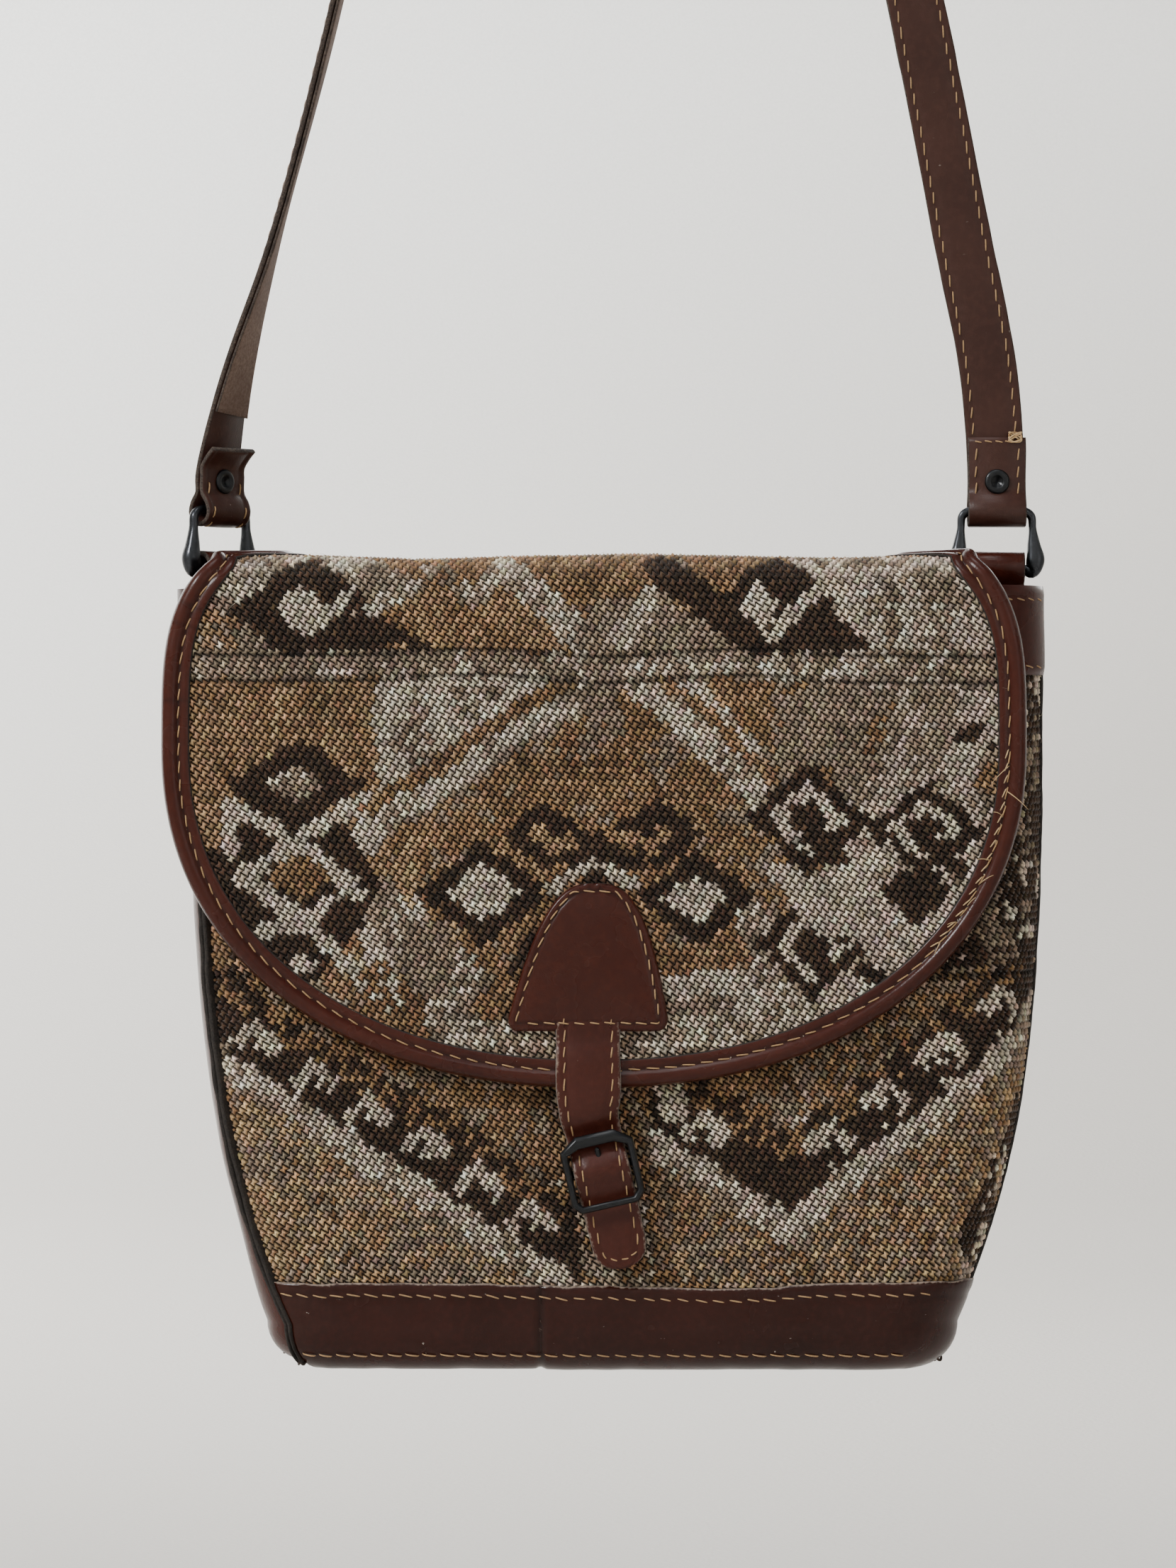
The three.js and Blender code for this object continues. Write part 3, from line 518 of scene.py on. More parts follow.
def flap_right_hooks(w):
    for x, z, wide in ((68, -89, 21), (107, -92, 19), (69, -131, 20)):
        w.paint(w.diamond(x, z, wide, wide * 0.92), BROWN_)
        w.paint(w.ring(x, z, wide * 0.68, wide * 0.64, 6), CREAM_, CREAM_, PINK_)
        w.paint(w.diamond(x + 3, z - 5, 6, 5), BROWN_)
        w.paint(w.line(x + 3, z - 7, x + 11, z - 13, 3), BROWN_)
    w.paint(w.diamond(106, -115, 17, 10), BROWN_)
    for x0, z0, x1, z1 in (
        (58, -108, 98, -134), (96, -100, 66, -117), (98, -134, 116, -119),
        (98, -134, 76, -148), (88, -113, 96, -121), (116, -119, 128, -104),
    ):
        w.paint(w.line(x0, z0, x1, z1, 4.2), PINK_, CREAM_)
    w.paint(w.diamond(124, -60, 9, 6), BROWN_)
    w.paint(w.line(112, -71, 131, -58, 2.5), CREAM_, PINK_)
    w.paint(w.diamond(129, -74, 7, 7), TAN_, CAMEL_)
    w.paint(w.line(88, -139, 96, -146, 4), BROWN_)


def flap_horns(w):
    """Two dark diamonds with pale middles, joined by a pair of horns."""
    for x, z, wide in ((-43.5, -114.5, 21), (29.5, -115.5, 20)):
        w.paint(w.diamond(x, z, wide, wide * 0.83), BROWN_)
        w.paint(w.diamond(x, z, wide * 0.6, wide * 0.47), CREAM_)
    for x, z, tilt in ((-22, -96, 1), (17, -94, -1)):
        w.paint(w.diamond(x, z, 15, 12), BROWN_)
        w.paint(w.line(x + tilt * 2, z - 5, x + tilt * 9, z - 1, 2.6), CAMEL_, GOLD_)
        w.paint(w.line(x + tilt * 2, z - 5, x - tilt * 2, z + 1, 2.6), CAMEL_)
    w.paint(w.diamond(-3, -104, 15, 9), BROWN_)
    w.paint(w.line(-20, -113, -5, -105.5, 2.2) | w.line(-5, -105.5, 9, -112, 2.2), CREAM_)
    w.paint(w.line(-4, -112, -4, -122, 5), BROWN_)


def flap_top_row(w):
    """The row of hooks along the fold, above the plain band."""
    w.paint(w.z >= -32, CAMEL_, TAN_)
    w.paint(w.between(-200, -108, -32, 200), GREIGE_, CAMEL_, CREAM_)
    w.paint(w.diamond(-100, -10, 38, 30), CREAM_, CREAM_, GREIGE_)
    w.paint(w.diamond(-101, -15, 21, 18), BROWN_)
    w.paint(w.line(-124, -18, -106, -31, 3.2), BROWN_)
    w.paint(w.diamond(-104, -17, 8.5, 9), CREAM_)
    w.paint(w.line(-101, -24, -88, -14, 2.6), CREAM_)
    w.paint((w.z > -31.5) & (w.z < -31.5 + 12 * (1 - np.abs(w.x + 84) / 26)), BROWN_)
    w.paint(w.line(-60, -2, -45, -14, 4) | w.line(-45, -14, -38, -4, 3), CREAM_, GREIGE_, TAN_)
    w.paint(w.line(-34, -2, -4, -31, 5.5), CREAM_, CREAM_, GREIGE_)
    w.paint(w.between(-6, 52, -32, -14) & (w.x - 22 < -(w.z + 14) * 1.6), GREIGE_)
    w.paint(w.line(24, -2, 2, -31, 4), GREIGE_, CREAM_)
    w.paint(w.line(18, -3, 54, -30, 5.5), BROWN_)
    w.paint((w.x > 62) & (w.z > -32), PINK_, CREAM_, GREIGE_)
    w.paint(w.diamond(57, -14, 21, 17), BROWN_)
    w.paint(w.diamond(51, -16, 7, 9) | w.line(55, -25, 70, -11, 2.6), CREAM_)
    w.paint((w.z > -31.5) & (w.z < -31.5 + 16 * (1 - np.abs(w.x - 72) / 19)), BROWN_)
    w.paint(w.line(73, -8, 92, -26, 2.6), CREAM_)
    w.paint((w.z > 4) & (np.abs(w.x) < 200), CAMEL_, GREIGE_, TAN_)
    for x in (-90, -30, 30, 90):
        w.paint(w.diamond(x, 42, 22, 17), BROWN_)
        w.paint(w.ring(x, 42, 15, 12, 5), CREAM_)


def front_pattern(x, z):
    w = Weave(x, z, 41)
    w.paint(w.z < 0, CAMEL_, GREIGE_, TAN_, GREIGE_)
    w.paint(w.between(-20, 200, -300, -190, 1), GREIGE_, TAN_, CREAM_, GREIGE_)
    w.paint(w.between(-90, 60, -215, -130, 1), GREIGE_, TAN_, CAMEL_)
    left = w.z - (-166 - 0.65 * (w.x + 132))
    right = w.z - np.where(w.x > 62, -222 + 0.8 * (w.x - 62), -222 + 0.6 * (62 - w.x))
    for above, x0, x1 in ((left, -200, -10), (right, 14, 200)):
        inside = w.between(x0, x1, -300, -100)
        w.paint(inside & (above > 15) & (above < 27), TAN_, BROWN_, TAN_, BROWN_)
        w.paint(inside & (above > 0) & (above <= 15), BROWN_)
        w.paint(inside & (above <= 0) & (above > -7), CREAM_, PINK_, CREAM_, CREAM_, GREIGE_)
        w.paint(inside & (above <= -7) & (above > -12), GREIGE_, CREAM_, GREIGE_)
        w.paint(inside & (above < -12), CAMEL_, GREIGE_, GOLD_, GREIGE_, TAN_)
    for x in (-119, -100, -81, -62, -43, -26):
        running_hook(w, x, -166 - 0.65 * (x + 132) + 9, 1)
    for x in (79, 98, 117, 136):
        running_hook(w, x - 4, -222 + 0.8 * (x - 62) + 9, -1)
    running_hook(w, 33, -196, 1)
    w.paint(w.line(16, -160, 22, -186, 6), CREAM_, GREIGE_)
    w.paint(w.diamond(133, -232, 12, 30) | w.diamond(146, -200, 9, 20), BROWN_, BROWN_, CREAM_)
    w.paint(w.between(120, 160, -262, -236, 0.5), CREAM_, PINK_, GREIGE_)
    w.paint(w.between(-220, -112, -290, -182, 1), CAMEL_, GOLD_, GOLD_, GREIGE_)
    w.paint((w.z > -140) & (w.x > 90), GREIGE_, BROWN_, BROWN_, CREAM_)
    w.paint((w.z > -140) & (w.x < -90), TAN_, CAMEL_, BROWN_)
    upper_diamonds(w, -100)
    return w.colour


def running_hook(w, x, z, side):
    w.paint(w.diamond(x, z, 10, 9.5), CREAM_, CREAM_, PINK_)
    w.paint(w.diamond(x - side * 0.5, z - 1.5, 5, 5), BROWN_)
    w.paint(w.line(x - side * 2, z - 4, x + side * 6, z - 8, 2.6), BROWN_)
    w.paint(w.line(x, z - 1, x + side * 3, z + 1, 1.6), CREAM_)


def upper_diamonds(w, foot):
    """Rows of concentric diamonds where the flap hides the cloth."""
    for x in (-90, -30, 30, 90):
        for z in (-40, -78):
            shown = w.z > foot
            w.paint(shown & w.diamond(x, z, 24, 19), BROWN_)
            w.paint(shown & w.ring(x, z, 17, 13, 6), CREAM_)


def back_pattern(x, z):
    w = Weave(x, z, 51)
    w.paint(w.z < 50, CAMEL_, TAN_, GREIGE_, CAMEL_)
    zigzag = np.abs((w.x + 240) % 60 - 30)
    for z, light in ((-52, CREAM_), (-140, PINK_), (-228, CREAM_)):
        level = w.z - z - zigzag * 0.7
        w.paint((level > -9) & (level < -3), light, GREIGE_)
        w.paint((level >= -3) & (level < 9), BROWN_)
        w.paint((level >= 9) & (level < 14), GREIGE_)
    for row, z in enumerate((-88, -176)):
        for x in range(-120 + 30 * row, 121, 60):
            w.paint(w.diamond(x, z, 19, 16), BROWN_)
            w.paint(w.ring(x, z, 14, 12, 5.5), CREAM_, PINK_)
            w.paint(w.diamond(x, z, 5, 4), TAN_)
    return w.colour


# ---- materials ----
class Shader:
    """A material being built: node() adds a node, and set() links or fills a socket."""

    def __init__(self, name):
        self.material = bpy.data.materials.new(name)
        self.material.use_nodes = True
        self.tree = self.material.node_tree
        self.surface = self.tree.nodes["Principled BSDF"]
        self.place = self.node("ShaderNodeTexCoord").outputs["Object"]

    def node(self, kind, **settings):
        made = self.tree.nodes.new(kind)
        for key, value in settings.items():
            setattr(made, key, value)
        return made

    def set(self, socket, value):
        """Links a socket to another, or gives it a plain value."""
        if isinstance(value, bpy.types.NodeSocket):
            self.tree.links.new(value, socket)
        elif hasattr(value, "__len__") and len(value) == 3 and socket.type == "RGBA":
            socket.default_value = (*value, 1)
        else:
            socket.default_value = value

    def stretched(self, scale, turn=(0, 0, 0)):
        mapping = self.node("ShaderNodeMapping")
        self.set(mapping.inputs["Vector"], self.place)
        mapping.inputs["Scale"].default_value = scale
        mapping.inputs["Rotation"].default_value = turn
        return mapping.outputs["Vector"]

    def noise(self, scale, detail=2, vector=None, rough=0.5):
        made = self.node("ShaderNodeTexNoise")
        made.inputs["Scale"].default_value = scale
        made.inputs["Detail"].default_value = detail
        made.inputs["Roughness"].default_value = rough
        self.set(made.inputs["Vector"], vector or self.place)
        return made.outputs["Fac"]

    def cells(self, scale, feature="F1", vector=None):
        made = self.node("ShaderNodeTexVoronoi", feature=feature)
        made.inputs["Scale"].default_value = scale
        self.set(made.inputs["Vector"], vector or self.place)
        return made.outputs["Distance"]

    def attribute(self, name, output="Fac"):
        return self.node("ShaderNodeAttribute", attribute_name=name).outputs[output]

    def between(self, value, low, high, to_low=0.0, to_high=1.0):
        made = self.node("ShaderNodeMapRange")
        names = ("Value", "From Min", "From Max", "To Min", "To Max")
        for key, given in zip(names, (value, low, high, to_low, to_high)):
            self.set(made.inputs[key], given)
        return made.outputs["Result"]

    def maths(self, what, a, b=0.0):
        made = self.node("ShaderNodeMath", operation=what)
        self.set(made.inputs[0], a)
        self.set(made.inputs[1], b)
        return made.outputs[0]

    def mix(self, share, a, b, blend="MIX"):
        made = self.node("ShaderNodeMix", data_type="RGBA", blend_type=blend)
        self.set(made.inputs["Factor"], share)
        colours = [s for s in made.inputs if s.type == "RGBA"]
        self.set(colours[0], a)
        self.set(colours[1], b)
        return next(s for s in made.outputs if s.type == "RGBA")

    def bump(self, height, strength, distance, under=None):
        made = self.node("ShaderNodeBump")
        made.inputs["Strength"].default_value = strength
        made.inputs["Distance"].default_value = distance
        self.set(made.inputs["Height"], height)
        if under:
            self.set(made.inputs["Normal"], under)
        return made.outputs["Normal"]

    def finish(self, colour, roughness, normal=None, **others):
        self.set(self.surface.inputs["Base Color"], colour)
        self.set(self.surface.inputs["Roughness"], roughness)
        if normal:
            self.set(self.surface.inputs["Normal"], normal)
        for key, value in others.items():
            label = key.replace("_", " ").title().replace("Ior", "IOR")
            self.set(self.surface.inputs[label], value)
        return self.material


def wool_material():
    s = Shader("woven_wool")
    fibres = s.noise(1, 3, s.stretched((2600, 2600, 520), (0, 0.22, 0)), 0.65)
    patches = s.noise(38, 2)
    light = s.between(fibres, 0.3, 0.7, 0.55, 1.32)
    light = s.maths("MULTIPLY", light, s.between(patches, 0.3, 0.7, 0.9, 1.08))
    # Painted shade and highlight: each bead is darkened to 3% in the valleys between beads and
    # brightened up to 155% on its crown, by the height attribute.
    high = s.maths("POWER", s.attribute("height"), 1.9)
    light = s.maths("MULTIPLY", light, s.between(high, 0, 1, 0.03, 1.55))
    colour = s.mix(1.0, s.attribute("yarn", "Color"), light, "MULTIPLY")
    normal = s.bump(fibres, 0.5, 0.0005)
    fuzz = {"sheen_weight": 0.25, "sheen_roughness": 0.5, "specular_ior_level": 0.2}
    return s.finish(colour, 0.93, normal, **fuzz)


def leather_material(name, colour, dark, roughness, scuffs=0.0, crease=0.35, grain=0.25):
    """Finished leather: mottled colour, fine pores and creases.

    It is made pale by one attribute, for rubbed wear and for a painted highlight on the base band's
    top edges, and darkened by another, a painted shade in grooves, creases and cracks.
    """
    s = Shader(name)
    mottle = s.between(s.noise(26, 1), 0.15, 0.85)
    base = s.mix(mottle, colour, dark)
    base = s.mix(s.between(s.noise(420, 2), 0.45, 0.75, 0, 0.25), base, scaled(colour, 1.5))
    # Made pale for rubbed wear on strip and patch edges, and as a painted highlight along the base
    # band's top edges.
    worn = s.between(s.maths("ADD", s.attribute("worn"), s.noise(700, 3)), 0.95, 1.3)
    base = s.mix(worn, base, linear(150, 132, 118))
    # Painted shade: darkened in stitch grooves, creases, seams and cracks, as the attribute says.
    base = s.mix(s.maths("MULTIPLY", s.attribute("pressed"), 0.6), base, scaled(dark, 0.3))
    rough = s.between(s.noise(90, 2), 0.2, 0.8, roughness - 0.05, roughness + 0.08)
    if scuffs:
        fleck = s.between(s.noise(430, 2, s.stretched((1, 1, 1.6))), 0.74, 0.77)
        fleck = s.maths("MULTIPLY", fleck, s.between(s.noise(60, 2), 0.5, 0.65, 0, scuffs))
        base = s.mix(fleck, base, linear(205, 196, 186))
    rough = s.maths("MAXIMUM", rough, s.maths("MULTIPLY", worn, 0.8))
    pores = s.cells(1900, "F1")
    wrinkles = s.noise(1, 4, s.stretched((130, 130, 60), (0, 0.5, 0)), 0.6)
    normal = s.bump(pores, grain, 0.0001)
    normal = s.bump(wrinkles, crease, 0.0005, normal)
    polish = {"coat_weight": 0.05, "coat_roughness": 0.16, "specular_ior_level": 0.24}
    return s.finish(base, rough, normal, **polish)


def raw_edge_material(name, pale, dark):
    """Cut leather: fibrous layers."""
    s = Shader(name)
    fibres = s.noise(1500, 4, rough=0.7)
    lumps = s.noise(260, 2)
    base = s.mix(s.between(fibres, 0.35, 0.65), dark, pale)
    base = s.mix(s.between(lumps, 0.45, 0.7, 0, 0.6), base, dark)
    return s.finish(base, 0.85, s.bump(fibres, 0.8, 0.0005))


def metal_material(name, colour, roughness, metallic):
    s = Shader(name)
    smudge = s.noise(160, 3)
    scratch = s.noise(1, 2, s.stretched((300, 2500, 2500), (0, 0, 0.6)))
    base = s.mix(s.between(s.noise(650, 3), 0.55, 0.8, 0, 0.35), colour, scaled(colour, 2.4))
    rough = s.between(smudge, 0.3, 0.7, roughness - 0.06, roughness + 0.12)
    return s.finish(base, rough, s.bump(scratch, 0.12, 0.0002), metallic=metallic, coat_weight=0.2)


def thread_material(name, colour):
    s = Shader(name)
    twist = s.noise(2300, 2)
    base = s.mix(s.between(twist, 0.3, 0.7), scaled(colour, 0.62), colour)
    return s.finish(base, 0.8, s.bump(twist, 0.6, 0.0003))


def cotton_material():
    s = Shader("cotton_lining")
    upright = s.noise(1, 1, s.stretched((2200, 2200, 300)))
    level = s.noise(1, 1, s.stretched((300, 300, 2200)))
    weave = s.maths("MULTIPLY", upright, level)
    base = s.mix(s.between(weave, 0.12, 0.4), linear(96, 82, 68), linear(140, 122, 102))
    base = s.mix(s.between(s.noise(20, 2), 0.4, 0.7, 0, 0.35), base, linear(84, 70, 57))
    return s.finish(base, 0.95, s.bump(weave, 0.5, 0.0004))


def flesh_material():
    """The unfinished side of leather."""
    s = Shader("raw_leather")
    nap = s.noise(900, 4, rough=0.7)
    base = s.mix(s.between(nap, 0.3, 0.7), linear(88, 68, 58), linear(134, 112, 98))
    base = s.mix(s.between(s.noise(40, 2), 0.4, 0.7, 0, 0.5), base, linear(74, 52, 44))
    return s.finish(base, 0.88, s.bump(nap, 0.6, 0.0004))


WOOL_SKIN = wool_material()
LEATHER = leather_material("dark_leather", linear(68, 28, 18), linear(50, 19, 12), 0.25, crease=0.2)
BASE_LEATHER = leather_material(
    "base_leather", linear(54, 22, 14), linear(38, 14, 8), 0.22, scuffs=1.0, crease=0.3)
CREASED = leather_material(
    "creased_leather", linear(72, 33, 24), linear(48, 18, 12), 0.32, scuffs=0.3, crease=0.8)
STRAP_SKIN = leather_material(
    "strap_leather", linear(68, 42, 35), linear(52, 30, 24), 0.36, scuffs=0.2, crease=0.4)
FLESH = flesh_material()
RAW_DARK = raw_edge_material("raw_edge", linear(88, 74, 64), linear(30, 22, 18))
RAW_GREY = raw_edge_material("cut_edge", linear(150, 140, 130), linear(78, 66, 58))
PAINTED = raw_edge_material("edge_paint", linear(52, 44, 38), linear(20, 16, 14))
COTTON = cotton_material()
GUNMETAL = metal_material("gunmetal", linear(58, 60, 64), 0.3, 0.9)
BLACK_METAL = metal_material("black_metal", linear(20, 22, 25), 0.34, 0.5)
THREAD = thread_material("tan_thread", linear(190, 152, 108))
PALE_THREAD = thread_material("loose_thread", linear(214, 182, 136))


# ---- woven cloth ----
BEAD_PITCH = 2.6  # along a row
BEAD_ROW = 2.2  # from row to row; every other row is half a bead along
BEAD_SIDE = 0.25  # half of the short edge that neighbours in a row share
BEAD_LEAN = 0.75
BEAD_RISE = (-1.0, 0.15, 0.75)  # valley, shoulder and crown off the cloth's face


def weave(name, surface, x_span, d_span, inside, pattern, seed, creases=()):
    """One sheet of slanted yarn beads on surface(x, d, out), where inside(x, d) is true."""
    random = np.random.default_rng(seed)
    rows = int((d_span[1] - d_span[0]) / BEAD_ROW) + 1
    columns = int((x_span[1] - x_span[0]) / BEAD_PITCH) + 2
    j, i = np.mgrid[0:rows, 0:columns]
    x = x_span[0] + (i + 0.5 * (j % 2)) * BEAD_PITCH
    d = d_span[0] + j * BEAD_ROW
    half = BEAD_ROW - BEAD_SIDE
    right = i + j % 2
    kept = inside(x, d) & (j > 0) & (j < rows - 1) & (right > 0) & (right < columns)
    j, i, right = j[kept], i[kept], right[kept]

    count = rows * columns
    shake = random.uniform(-0.24, 0.24, (2, 2, rows, columns))
    top = np.stack([x - BEAD_LEAN + shake[0, 0], d - half + shake[0, 1]], -1).reshape(-1, 2)
    foot = np.stack([x + BEAD_LEAN + shake[1, 0], d + half + shake[1, 1]], -1).reshape(-1, 2)
    flat = np.concatenate([top, foot])

    def number(row, column, low):
        return row * columns + column + low * count

    corners = np.stack(
        [
            number(j, i, 0), number(j - 1, right, 1), number(j + 1, right, 0),
            number(j, i, 1), number(j + 1, right - 1, 0), number(j - 1, right - 1, 1),
        ], 1,
    )
    used, corners = np.unique(corners, return_inverse=True)
    corners = corners.reshape(-1, 6)
    flat = flat[used]
    beads = len(corners)
    middle = flat[corners].mean(1)
    ring = middle[:, None] + (flat[corners] - middle[:, None]) * 0.68
    crown = middle[:, None] + (flat[corners[:, [0, 3]]] - middle[:, None]) * 0.33
    size = random.normal(1, 0.17, beads).clip(0.5, 1.5)
    low, shoulder, high = BEAD_RISE
    rise = np.concatenate([
        np.full(len(flat), low), np.repeat(shoulder * size, 6), np.repeat(high * size, 2),
    ])
    places = np.concatenate([flat, ring.reshape(-1, 2), crown.reshape(-1, 2)])
    # The wool shader's painted shade factor: 0 in the valleys, 0.68 on the shoulders, 1 on the
    # crowns.
    height = np.concatenate([np.zeros(len(flat)), np.full(6 * beads, 0.68), np.ones(2 * beads)])
    for line_d, depth in creases:
        wavy = line_d + 1.2 * noise(places[:, 0], 0 * places[:, 0], 45, 77)
        near = np.exp(-(((places[:, 1] - wavy) / 0.75) ** 2))
        rise -= depth * near
        # Painted shade along the crease.
        height *= 1 - 0.6 * near
    drift = 0.9 * noise(places[:, 0], places[:, 1], 48, seed + 1)
    points = surface(places[:, 0], places[:, 1] + drift, rise)

    ring_start = len(flat) + 6 * np.arange(beads)
    crown_start = len(flat) + 6 * beads + 2 * np.arange(beads)
    after = [(k + 1) % 6 for k in range(6)]
    quads = [
        np.stack([corners[:, k], corners[:, n], ring_start + n, ring_start + k], 1)
        for k, n in enumerate(after)
    ]
    quads.append(np.stack([ring_start + 1, ring_start + 2, crown_start + 1, crown_start], 1))
    quads.append(np.stack([ring_start + 4, ring_start + 5, crown_start, crown_start + 1], 1))
    thirds = [(5, 0, 0), (0, 1, 0), (2, 3, 1), (3, 4, 1)]
    triangles = [
        np.stack([ring_start + a, ring_start + b, crown_start + c], 1) for a, b, c in thirds
    ]
    owner = np.tile(np.arange(beads), len(quads) + len(triangles))
    hairs, hair_faces, hair_owner = loose_fibres(surface, middle, random, len(points))
    faces = np.concatenate(quads).tolist() + np.concatenate(triangles).tolist()
    faces += hair_faces.tolist()
    owner = np.concatenate([owner, hair_owner])
    cloth = piece(name, np.vstack([points, hairs]), faces, [WOOL_SKIN])
    # Loose hairs get nearly the crowns' painted light.
    point_values(cloth, "height", np.concatenate([height, np.full(len(hairs), 0.95)]))
    shade = WOOL[pattern(middle[:, 0], middle[:, 1])]
    tone = random.normal(1, 0.27, beads) + 0.12 * noise(middle[:, 0], middle[:, 1], 21, seed + 3)
    shade = shade * tone.clip(0.5, 1.6)[:, None]
    shade = shade * (1 + random.normal(0, 0.045, (beads, 3)))
    row_tone = np.random.default_rng(seed + 2).normal(1, 0.05, rows)
    shade = shade * row_tone[j][:, None]
    attribute = cloth.data.attributes.new("yarn", "FLOAT_COLOR", "FACE")
    colours = np.ones((len(owner), 4), np.float32)
    colours[:, :3] = shade[owner].clip(0, 1)
    attribute.data.foreach_set("color", colours.ravel())
    return cloth


def loose_fibres(surface, middle, random, start):
    """Short hairs that stand off the yarn, each a thin tube in the colour of its bead."""
    count = len(middle) // 7
    bead = random.integers(0, len(middle), count)
    way = random.uniform(0, 2 * PI, count)
    long = random.uniform(1.2, 4.2, count)
    bend = random.uniform(-1.2, 1.2, count)
    share = np.linspace(0, 1, 4)
    turn = way[:, None] + bend[:, None] * share
    u = middle[bead, :1] + long[:, None] * share * np.cos(turn)
    v = middle[bead, 1:] + long[:, None] * share * np.sin(turn)
    lift = 0.35 + random.uniform(0.2, 1.3, (count, 1)) * np.sin(share * 2.4)
    size = 0.055 * (1 - 0.6 * share)
    corners = [(0, 0), (1, 0), (0.5, 0.87)]
    ring = [surface(u + size * a, v - size * a * np.cos(turn), lift + size * b) for a, b in corners]
    points = np.stack(ring, 2).reshape(-1, 3)
    one = grid_faces(4, 3, closed=True)
    faces = (one[None] + 12 * np.arange(count)[:, None, None]).reshape(-1, 4) + start
    return points, faces, np.repeat(bead, len(one))


def flap_half_inside(d, inset):
    """The flap's half width at length d, less inset all round its rim."""
    z = flap_height(d)
    down = np.clip((FLAP_WIDE_Z - z) / (FLAP_WIDE_Z - FLAP_BOTTOM - inset), 0, 1)
    round_half = (FLAP_HALF_WIDE - inset) * (1 - down**FOOT_POWER) ** (1 / FOOT_POWER)
    return np.where(z < FLAP_WIDE_Z, round_half, flap_edge_half(d) - inset)


def flap_inside(x, d):
    half = flap_half_inside(d, YARN_INSET)
    return (np.abs(x - FLAP_SHIFT) < half) & (d < FLAP_LENGTH - YARN_INSET)


FLAP_MIDDLE = -6.0  # where the flap's two pieces meet, on its flat top
YARN_INSET = 5.0  # how far inside the rim the yarn ends
LINING_INSET = 4
LINING_FACES = (-2.85, -3.85)  # off the flap's surface, towards its inside
FOLD_BACK = ((0, 0.041, ORIGIN[2] - 0.020), (0, 0.028, ORIGIN[2]))
FOLD_FRONT = ((0, -0.032, ORIGIN[2]), (0, -0.045, ORIGIN[2] - 0.018))


def flap_cloth():
    rows_back = int((FLAP_ROOT + FLAP_MIDDLE) / BEAD_ROW)
    start = FLAP_MIDDLE - rows_back * BEAD_ROW
    span = (FLAP_SHIFT - 150, FLAP_SHIFT + 150)
    # Two folds across the flap: sunk into the yarn, with painted shade along them.
    creases = ((73.2, 0.5), (82.0, 0.5))

    def pattern(x, d):
        return flap_pattern(x, flap_height(d))

    back = weave("flap_weave_back", flap, span, (start, FLAP_MIDDLE + 2 * BEAD_ROW),
                 lambda x, d: flap_inside(x, d) & (d < FLAP_MIDDLE), pattern, 61)
    front = weave("flap_weave_front", flap, span, (start, FLAP_LENGTH),
                  lambda x, d: flap_inside(x, d) & (d >= FLAP_MIDDLE), pattern, 61, creases)
    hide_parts("flap_top_cloth", "flap_root")
    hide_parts("flap_cloth")
    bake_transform(back)
    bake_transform(front)


def declare_sheet(half, start, end):
    """Works out a flap sheet's widths at the size it has when it isn't folded; nothing more is done
    with them.
    """
    slices = 399
    d = np.linspace(start, end, slices + 1)
    wide = 2 * half(d) / 1000


def wall_cloth(name, side_y, pattern, node):
    def surface(x, d, out):
        return wall(side_y, x, PANEL_TOP - d, out)

    def inside(x, d):
        z = PANEL_TOP - d
        return (x > seam_s(side_y, -1, z)) & (x < seam_s(side_y, 1, z)) & (z > ROLL_Z - 4)

    # A fold across the front: sunk into the yarn, with painted shade along it.
    crease = ((131, 0.8),) if side_y < 0 else ()
    cloth = weave(name, surface, (-170, 175), (0, PANEL_TOP - ROLL_Z + 8), inside,
                  lambda x, d: pattern(x, PANEL_TOP - d), 70 + int(side_y), crease)
    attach(cloth, "bag")
    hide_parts(node)


# ---- the stage, light and camera ----
VIEW_MIDDLE = np.array([-7.0, -45, -77])  # what the camera looks straight at
VIEW_TALL = 530  # height of the view at the bag's front
VIEW_AWAY = 1900
SENSOR = 36
FLOOR_DROP = 0.25  # metres from the bag's foot to the floor


